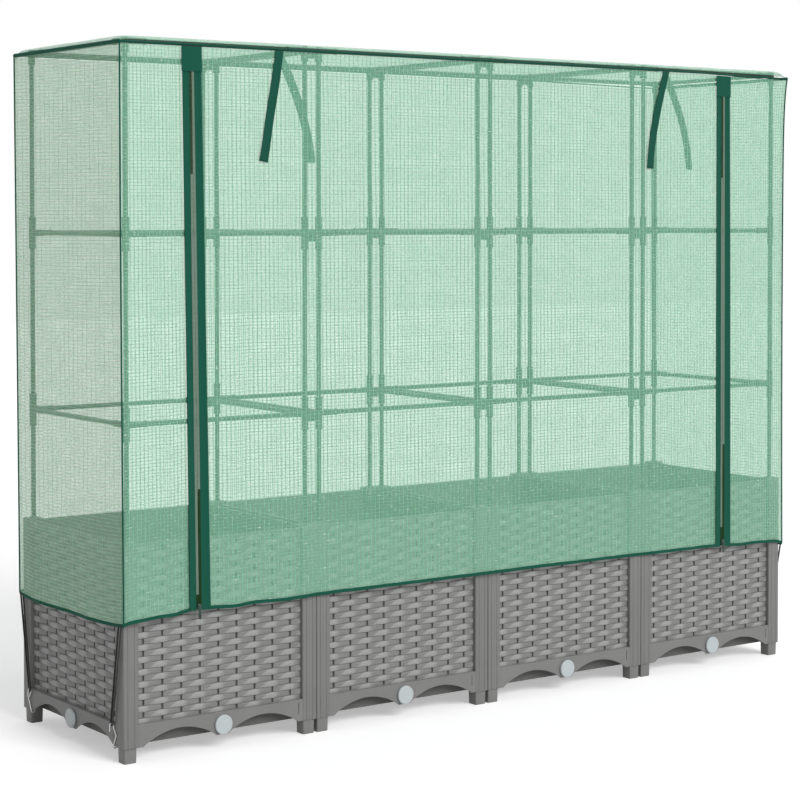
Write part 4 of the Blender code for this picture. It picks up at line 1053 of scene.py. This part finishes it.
def hem_rows(c, side, left, right, folds, seed):
    """Sections of the binding along one wall, following the film's folds."""
    share, along = [line[:, None] for line in wall_lines(c, left, right, 0.008)]
    section = hem_section(c)
    z = hem_z(c, side, along) + c.binding * section[:, 1]
    out = section[:, 0] - c.film / 2 + fold_out(c, along, z, share, folds, seed)
    return wall_xyz(c, side, along, z, out)


def corner_row(c, side):
    """The mitred section of the binding at the corner to the right of a wall."""
    section = hem_section(c)
    z = c.hem_corner + c.binding * section[:, 1]
    out = section[:, 0] - c.film / 2
    return wall_xyz(c, side, half_run(c, side, z) + out, z, out)[None]


class PLANTER_OT_cover(Operator):
    """Builds the roof, the walls, the door and the hem bindings of the cover"""

    bl_idname = "planter.cover"
    bl_label = "Film Cover"

    def execute(self, context):
        c = context.scene.planter_cover
        t = context.scene.planter_fittings
        looks = finishes()
        films = {"front": looks["film"], "back": looks["back_film_painted_shade"]}
        roof = make_piece("film_roof", [roof_part(c)], looks["film"], "root", ["cover_roof"],
                          closed=False)
        thicken(roof, c.film)
        bound = []
        for seed, (name, (side, left, right, folds, node)) in enumerate(wall_table(c, t).items()):
            along, z, share = wall_places(c, side, left, right)
            out = fold_out(c, along, z, share, folds, seed)
            net = NET_STRETCH["strip" if "strip" in node else side]
            part = surface(wall_xyz(c, side, along, z, out), stretch=net)
            body = "door" if node == "door_panel" else "root"
            piece = make_piece(name, [part], films.get(side, looks["end_film_painted_light"]), body, [node],
                               closed=False)
            thicken(piece, c.film)
            rows = hem_rows(c, side, left, right, folds, seed)
            if body == "door":
                make_piece("hem_door", [surface(rows, closed_u=True, caps=True)], looks["trim"],
                                       "door", ["door_hem"])
            else:
                bound.append(rows)
                if name != "film_front_left":
                    bound.append(corner_row(c, side))
            flat = (float(right(c.hem_front) - left(c.hem_front)), float(z.max() - z.min()))
        make_piece("hem_cover", [surface(np.concatenate(bound), closed_u=True, caps=True)], looks["trim"],
                   "root", ["hem_binding"])
        return {"FINISHED"}


class PLANTER_OT_seams(Operator):
    """Builds the cord round the roof's edge and the corner seams"""

    bl_idname = "planter.seams"
    bl_label = "Seam Cords"

    def execute(self, context):
        c = context.scene.planter_cover
        corner, step, seam = 0.004, 0.02, 0.0015  # corner radius, path step, corner seams' radius
        outline = rounded(c.roof_length, c.roof_width, corner, 6)
        path = np.column_stack([outline, np.full(len(outline), c.roof_edge)])
        path = np.concatenate([
            np.linspace(start, end, 1 + int(np.linalg.norm(end - start) / step), endpoint=False)
            for start, end in zip(path, np.roll(path, -1, 0))])
        ends = np.abs(path[:, 0]) > c.roof_length / 2 - 0.3 * corner
        width = np.where(ends, c.end_piping, c.thin_piping)
        path[:, 2] -= seam_droop(c, path[:, 0])
        parts = [swept(circle(1.0, 14), path, (0, 0, 1), closed=True, scale=width)]
        z = np.linspace(c.roof_edge, c.hem_corner + c.binding * 0.6, 40)
        for to_x in (-1, 1):
            for to_y in (-1, 1):
                line = np.stack([to_x * half_run(c, "front", z), to_y * half_run(c, "left", z), z], 1)
                parts.append(swept(circle(seam, 10), settled(c, line), (0, 1, 0)))
        make_piece("seam_cord", parts, finishes()["trim"], "root", ["seam_piping"])
        return {"FINISHED"}


# Zips and ribbons

def zip_strip(c, t, which, profile, heights):
    """A section of (distance from the zip's middle, out) carried down the front at the given heights."""
    z = heights[:, None]
    return wall_xyz(c, "front", zip_x(c, t, which, z) + profile[..., 0], z, profile[..., 1])


def coil_side(t, share, turns=0.0018, flare=0.0008):
    """From the zip's middle to its coil turns' ends at a share up, flared from the top to half way down."""
    return t.coil + turns + flare * np.clip((1 - share) * 2.4, 0, 1)


# Heights where painted shade takes over from the light coil, for each zip: the left half's top and end, and
# the right half's end
COIL_SHADE_HEIGHTS = ((1.028, 0.285, 0.471), (1.036, 0.294, 0.470))


def coil_lift(which, sign, z):
    """The attribute of painted light of a coil half at a height: painted shade or light coil."""
    top, end, right_end = COIL_SHADE_HEIGHTS[which]
    dark = z > top or z < end if sign < 0 else z < right_end
    return 0.0 if dark else 0.8


def teeth_part(c, t, which, sign, low, top, pitch=0.0022):
    """Coil turns as short rounded bars across the zip, one every pitch, nearly closed."""
    near = out = 0.0003
    outline = rounded(0.0021, 0.0013, 0.0004, 1)
    middle = low + pitch * (np.arange(int((top - low) / pitch)) + 0.5)
    edge = coil_side(t, (middle - low) / (top - low))
    z = middle[:, None, None] + outline[:, 0]
    across = np.stack([np.full(len(middle), near), edge], 1)[:, :, None] * sign
    points = wall_xyz(c, "front", zip_x(c, t, which, z) + across, z, outline[:, 1] + out)
    return [surface(tooth, closed_u=True, caps=True,
                    lift=np.full(tooth.shape[:2], coil_lift(which, sign, height)))
            for tooth, height in zip(points, middle)]


def tape_section(t, sign, share, thick=0.0012):
    """The tape's section at each share up the zip, from the coil to its outer edge, with rounded edges."""
    near = coil_side(t, share)[:, None] - 0.0006
    far = t.tape + (t.tape_flare * (1 - share[:, None]) ** 0.7 if sign > 0 else -0.0010)
    run = np.array([0.0, 0.03, 0.10, 0.80, 0.83, 0.97, 1.0, 1.0, 0.97, 0.03, 0.0])
    out = np.array([-0.2, 0.30, 0.36, 0.36, 0.62, 0.62, 0.2, -0.5, -0.8, -0.8, -0.6]) * thick
    return np.stack(np.broadcast_arrays((near + (far - near) * run) * sign, out), -1)


def zip_low(c, t, which):
    """Height of the hem at a zip."""
    return float(hem_z(c, "front", np.array((t.zip_hem_left, t.zip_hem_right)[which])))


def zip_place(c, t, which):
    """The slider's own directions at the hem: origin, across, outwards, up the zip."""
    start, end = [wall_xyz(c, "front", zip_x(c, t, which, z), z) for z in (c.hem_front + 0.006, film_top(c))]
    up = unit(end - start)
    back = unit(np.cross(up, (1.0, 0.0, 0.0)))
    return start, np.cross(back, up), -back, up


def power(values, exponent):
    """Values raised to a power with their signs kept."""
    return np.sign(values) * np.abs(values) ** exponent


def slider_parts():
    """The slider in its own view (x across, y out, z up): a shield lofted to a crown, and the pull's bridge.

    The shield's outline is a superellipse, narrowed towards its top.
    """
    half_width, half_height = 0.0043, 0.0059
    angle = 2 * np.pi * np.arange(28) / 28
    wide = half_width * power(np.cos(angle), 0.7)
    tall = half_height * power(np.sin(angle), 0.6)
    wide = wide * (1.0 - 0.22 * np.clip(tall / half_height, 0, 1))
    levels = ((0.0013, 0.96), (0.0017, 1.0), (0.0026, 1.0), (0.0031, 0.93), (0.0034, 0.74))
    body = moved(lofted(np.stack([wide, tall], 1), levels), lambda points: points[:, [0, 2, 1]])
    turn = np.linspace(-0.15 * np.pi, 1.15 * np.pi, 12)
    path = np.stack([np.zeros(12), 0.0030 + 0.0012 * np.sin(turn), 0.0026 * np.cos(turn)], 1)
    bridge = swept(rounded(0.0006, 0.0018, 0.0002, 1), path, (1, 0, 0))
    return [body, bridge]


def pull_parts():
    """The pull tab hanging down: a plate with round ends and a long hole, from an outline and its hole."""
    thick = 0.0010
    angle = 2 * np.pi * np.arange(36) / 36
    cos, sin = np.cos(angle), np.sin(angle)
    outline = np.stack([0.0024 * power(cos, 0.45), -0.0110 + 0.0086 * sin + 0.0022 * np.sign(sin)], 1)
    hole = np.stack([0.0012 * cos, -0.0160 + 0.0034 * sin], 1)
    inner = outline * (0.92, 1.0)
    rings = [np.stack([line[:, 0], np.full(36, y), line[:, 1]], 1) for line, y in (
        (outline, 0.0), (outline, thick), (inner, thick), (hole, thick), (hole, 0.0), (inner, 0.0))]
    return [surface(np.array(rings), closed_u=True, closed_v=True)]


class PLANTER_OT_zips(Operator):
    """Builds the zip tapes, coils, top patches, sliders and pulls"""

    bl_idname = "planter.zips"
    bl_label = "Zips"

    def execute(self, context):
        c = context.scene.planter_cover
        t = context.scene.planter_fittings
        top = film_top(c)
        for which, label in ((0, "left"), (1, "right")):
            low = zip_low(c, t, which)
            heights = np.linspace(low, top, 90)
            share = (heights - low) / (top - low)
            outward = (-1, 1)[which]
            for sign, kind, node, body in ((outward, "zip", f"zip_tape_{label}", "root"),
                                           (-outward, "door", f"door_zip_tape_{label}", "door")):
                lines = [(tape_section(t, sign, share), heights)]
                if body == "door":
                    patch = rounded(t.patch_width, 0.0008, 0.0003, 1) + (0, 0.0018)
                    lines.append((patch[None], np.linspace(top - t.patch_length, top - FIT, 8)))
                parts = [surface(zip_strip(c, t, which, section, z), closed_u=True, caps=True)
                         for section, z in lines]
                make_piece(f"tape_{kind}_{label}", parts, finishes()["zip_tape"], body, [node])
                teeth = teeth_part(c, t, which, sign, low + 0.002, top - 0.003)
                make_piece(f"coil_{kind}_{label}", teeth, finishes()["coil"], body, [node],
                           sharp=50.0)
            start, across, out, up = zip_place(c, t, which)
            for kind, node, parts, stands in (("body", f"zip_slider_{label}", slider_parts(), 0.0),
                                              ("pull", f"zip_pull_{label}", pull_parts(), 0.0038)):

                def place(points):
                    x, y, z = np.split(points, 3, 1)
                    return start + x * across + (y + stands) * out + z * up

                make_piece(f"slider_{kind}_{label}", [moved(part, place) for part in parts],
                           finishes()["metal"], node, [node])
        return {"FINISHED"}


def ribbon_part(c, t, x, swing, curve, out):
    """A ribbon hanging from the seam: x moves by swing * (1 - (1 - share) ** curve), slightly cupped.

    Its lines lean with its middle, it lies on the door's folds, and out is 1 outside and -1 inside.
    """
    top = film_top(c)
    half = t.ribbon / 2
    share = np.linspace(1, 0, 41)[:, None]
    side = np.linspace(-1, 1, 7)[None]
    lean = np.arctan(swing * curve * (1 - share) ** (curve - 1) / t.ribbon_length)
    along = x + swing * (1 - (1 - share) ** curve) + side * half * np.cos(lean)
    z = top - t.ribbon_length * share + side * half * np.sin(lean) * np.clip(share * 6, 0, 1)
    z = np.minimum(z, top)
    left, right = [zip_edge(c, t, which, sign)(z) for which, sign in ((0, 1), (1, -1))]
    lies = fold_out(c, along, z, (along - left) / (right - left), 5, 5)
    cup = 0.0006 * side ** 2 + 0.0008 * np.sin(9 * share) * share
    away = 0.0020 + cup if out > 0 else -c.film - 0.0022 - cup
    return surface(wall_xyz(c, "front", along, z, lies + away))


class PLANTER_OT_ribbons(Operator):
    """Builds the tie ribbons outside and inside the door"""

    bl_idname = "planter.ribbons"
    bl_label = "Tie Ribbons"

    def execute(self, context):
        c = context.scene.planter_cover
        t = context.scene.planter_fittings
        # Place, label, x at the seam, swing to the right, how curved, and which way it lies from the door
        rows = (("outer", "left", t.ribbon_left, -0.034, 1.0, 1),
                ("outer", "right", t.ribbon_right, -0.043, 1.55, 1),
                ("inner", "left", t.ribbon_left, 0.072, 1.55, -1),
                ("inner", "right", t.ribbon_right, 0.071, 1.55, -1))
        for place, label, x, swing, curve, out in rows:
            node = f"{place}_ribbon_{label}"
            body = "door" if out > 0 else "root"
            piece = make_piece(f"tie_{place}_{label}", [ribbon_part(c, t, x, swing, curve, out)],
                               finishes()["ribbon"], body, [node], closed=False)
            thicken(piece, 0.0006, 0.0)
        return {"FINISHED"}


# Elastic cords and hooks

def cord_plane(b, t):
    """The row's end along x, and the plane of the cords and the hooks' eyes beside it."""
    row_half = ((b.count - 1) * b.pitch + b.size) / 2
    return row_half, row_half + t.hook_eye + t.hook + FIT


def cord_path(b, c, t, to_x, to_y):
    """Down from the hem's corner, half a turn through the hook's eye and up again."""
    half = t.cord_spread / 2
    angle = np.linspace(0, np.pi, 15)
    turn = np.stack([b.size / 2 - t.hook_inset + half * np.cos(angle),
                     t.hook_level + half - half * np.sin(angle)], 1)
    outer, inner = [np.array([y, float(hem_z(c, "left", np.array(y))) + 0.002])
                    for y in (c.hem_width / 2 - 0.004, c.hem_width / 2 - 0.014)]
    rise = np.linspace(0, 1, 14)[:, None]
    line = np.concatenate([outer + (turn[0] - outer) * rise[:-1], turn,
                           turn[-1] + (inner - turn[-1]) * rise[1:]])
    plane = cord_plane(b, t)[1]
    return np.column_stack([np.full(len(line), to_x * plane), to_y * line[:, 0], line[:, 1]])


def hook_path(b, t, to_x, to_y):
    """A bent wire: a short leg, a bend over the cord's loop, a long leg bowed to the corner, a turn under
    the rail and a tip behind it. Points are (x outwards, y to the corner, z).
    """
    row_half, plane = cord_plane(b, t)
    eye, level, ground = t.hook_eye, t.hook_level, b.foot_height
    wire = t.hook + FIT
    near = row_half + wire
    middle = row_half - b.rail_wall / 2
    radius = b.rail_wall / 2 + wire
    turn = np.radians(np.linspace(0, 180, 13))[:, None]
    bend = np.hstack([plane + eye * np.cos(turn), 0 * turn, level + eye * np.sin(turn)])
    leg = np.linspace((plane + eye, 0.0, level - 0.011), bend[0], 6)[:-1]
    knee = np.array([near, 0.0115, level - 0.0165])
    out = np.linspace((near, 0.0008, level - 0.004), knee, 7)[1:-1]
    corner = knee + np.array([(0, -0.0008, 0.0010), (0, 0, 0), (0, -0.0007, -0.0012)])
    back = np.linspace(knee, (near, 0.0, ground), 8)[1:-1]
    under = np.hstack([middle + radius * np.cos(turn), 0 * turn, ground - radius * np.sin(turn)])
    tip = [(middle - radius, 0.0, ground + up) for up in (0.0035, 0.007)]
    line = np.concatenate([leg, bend, out, corner, back, under, tip])
    return line * (to_x, to_y, 1) + (0, to_y * (b.size / 2 - t.hook_inset), 0)


class PLANTER_OT_cords(Operator):
    """Builds the elastic loops at the hem's corners and the hooks that hold them down"""

    bl_idname = "planter.cords"
    bl_label = "Elastic Cords"

    def execute(self, context):
        b = context.scene.planter_boxes
        c = context.scene.planter_cover
        t = context.scene.planter_fittings
        for end, to_x in (("left", -1), ("right", 1)):
            for face, to_y in (("front", -1), ("back", 1)):
                label = f"{face}_{end}"
                cord = swept(circle(t.cord, 14), cord_path(b, c, t, to_x, to_y), (1, 0, 0))
                make_piece(f"elastic_{label}", [cord], finishes()["cord"], "root",
                           [f"elastic_cord_{label}"])
                hook = tube(hook_path(b, t, to_x, to_y), t.hook, 12)
                make_piece(f"wire_hook_{label}", [hook], finishes()["wire"], "root",
                           [f"cord_hook_{label}"], sharp=60.0)
        return {"FINISHED"}


# Stage

def seen_white(g):
    """1 for rays of the camera, of mirrors and of clear pieces, and 0 for the light on the object."""
    rays = g.add("ShaderNodeLightPath", {}).node.outputs
    mirrors = g.math("MAXIMUM", rays["Is Camera Ray"], rays["Is Glossy Ray"])
    return g.math("MAXIMUM", mirrors, rays["Is Transmission Ray"])


class PLANTER_OT_stage(Operator):
    """Builds the pale floor, the soft light and the camera"""

    bl_idname = "planter.stage"
    bl_label = "Stage"

    def execute(self, context):
        scene = context.scene
        white = (1, 1, 1, 1)
        reach, floor_glow, world_light = 14.0, 0.42, 0.34
        mesh = bpy.data.meshes.new("floor")
        mesh.from_pydata([(-reach, -reach, 0), (reach, -reach, 0), (reach, reach, 0), (-reach, reach, 0)], [],
                         [(0, 1, 2, 3)])
        floor = bpy.data.objects.new("floor", mesh)
        scene.collection.objects.link(floor)
        g = finish_graph("pale_floor", Base_Color=(0.84, 0.84, 0.84, 1), Roughness=0.9,
                         Specular_IOR_Level=0.0, Emission_Color=white)
        g.set("Emission Strength", g.math("MULTIPLY", seen_white(g), floor_glow))
        mesh.materials.append(g.owner)

        scene.world = bpy.data.worlds.new("studio")
        g = Graph(scene.world, "Background", Color=white)
        g.set("Strength", g.range(seen_white(g), 0.0, 1.0, world_light, 1.0))

        for name, strength, spread, towards in (("key", 2.05, 30.0, (0.10, -0.80, 0.58)),
                                                ("fill", 0.40, 60.0, (0.55, 0.60, 0.58))):
            lamp = bpy.data.lights.new(name, "SUN")
            lamp.energy = strength
            lamp.angle = math.radians(spread)
            sun = bpy.data.objects.new(name, lamp)
            sun.location = [4 * value for value in towards]
            azimuth = math.atan2(towards[0], -towards[1])
            tilt = math.atan2(math.hypot(towards[0], towards[1]), towards[2])
            sun.rotation_euler = (tilt, 0, azimuth)
            scene.collection.objects.link(sun)

        lens = bpy.data.cameras.new("photo_view")
        lens.sensor_width = 36.0
        lens.lens = 94.442
        lens.shift_y = -0.16
        lens.clip_end = 100.0
        camera = bpy.data.objects.new("photo_view", lens)
        camera.location = (-2.50834, -3.4254, 0.95407)
        camera.rotation_euler = (math.pi / 2 - 0.02671, 0, -0.61884)
        scene.collection.objects.link(camera)
        scene.camera = camera
        scene.view_settings.view_transform = "Standard"
        return {"FINISHED"}


STEPS = (PLANTER_OT_boxes, PLANTER_OT_plugs, PLANTER_OT_frame, PLANTER_OT_seams, PLANTER_OT_cover,
         PLANTER_OT_zips, PLANTER_OT_ribbons, PLANTER_OT_cords, PLANTER_OT_stage)


class PLANTER_PT_panel(Panel):
    """Lists the steps that build the planter"""

    bl_idname = "PLANTER_PT_panel"
    bl_label = "Covered Raised Planter"
    bl_space_type = "VIEW_3D"
    bl_region_type = "UI"
    bl_category = "Planter"

    def draw(self, context):
        for step in STEPS:
            self.layout.operator(step.bl_idname)


GROUPS = {"planter_boxes": PlanterBoxSizes, "planter_frame": PlanterFrameSizes,
          "planter_cover": PlanterCoverSizes, "planter_fittings": PlanterFittingSizes,
          "planter_colours": PlanterColours}
CLASSES = (*GROUPS.values(), *STEPS, PLANTER_PT_panel)


def register():
    """Adds the classes and the scene's groups of sizes and colours."""
    for item in CLASSES:
        bpy.utils.register_class(item)
    for name, group in GROUPS.items():
        setattr(bpy.types.Scene, name, PointerProperty(type=group))


def unregister():
    """Takes the groups and the classes out again."""
    for name in GROUPS:
        delattr(bpy.types.Scene, name)
    for item in reversed(CLASSES):
        bpy.utils.unregister_class(item)


def main():
    """Builds everything in order."""
    register()
    bpy.ops.planter.boxes()
    bpy.ops.planter.plugs()
    bpy.ops.planter.frame()
    bpy.ops.planter.seams()
    bpy.ops.planter.cover()
    bpy.ops.planter.zips()
    bpy.ops.planter.ribbons()
    bpy.ops.planter.cords()
    bpy.ops.planter.stage()


if __name__ == "__main__":
    main()
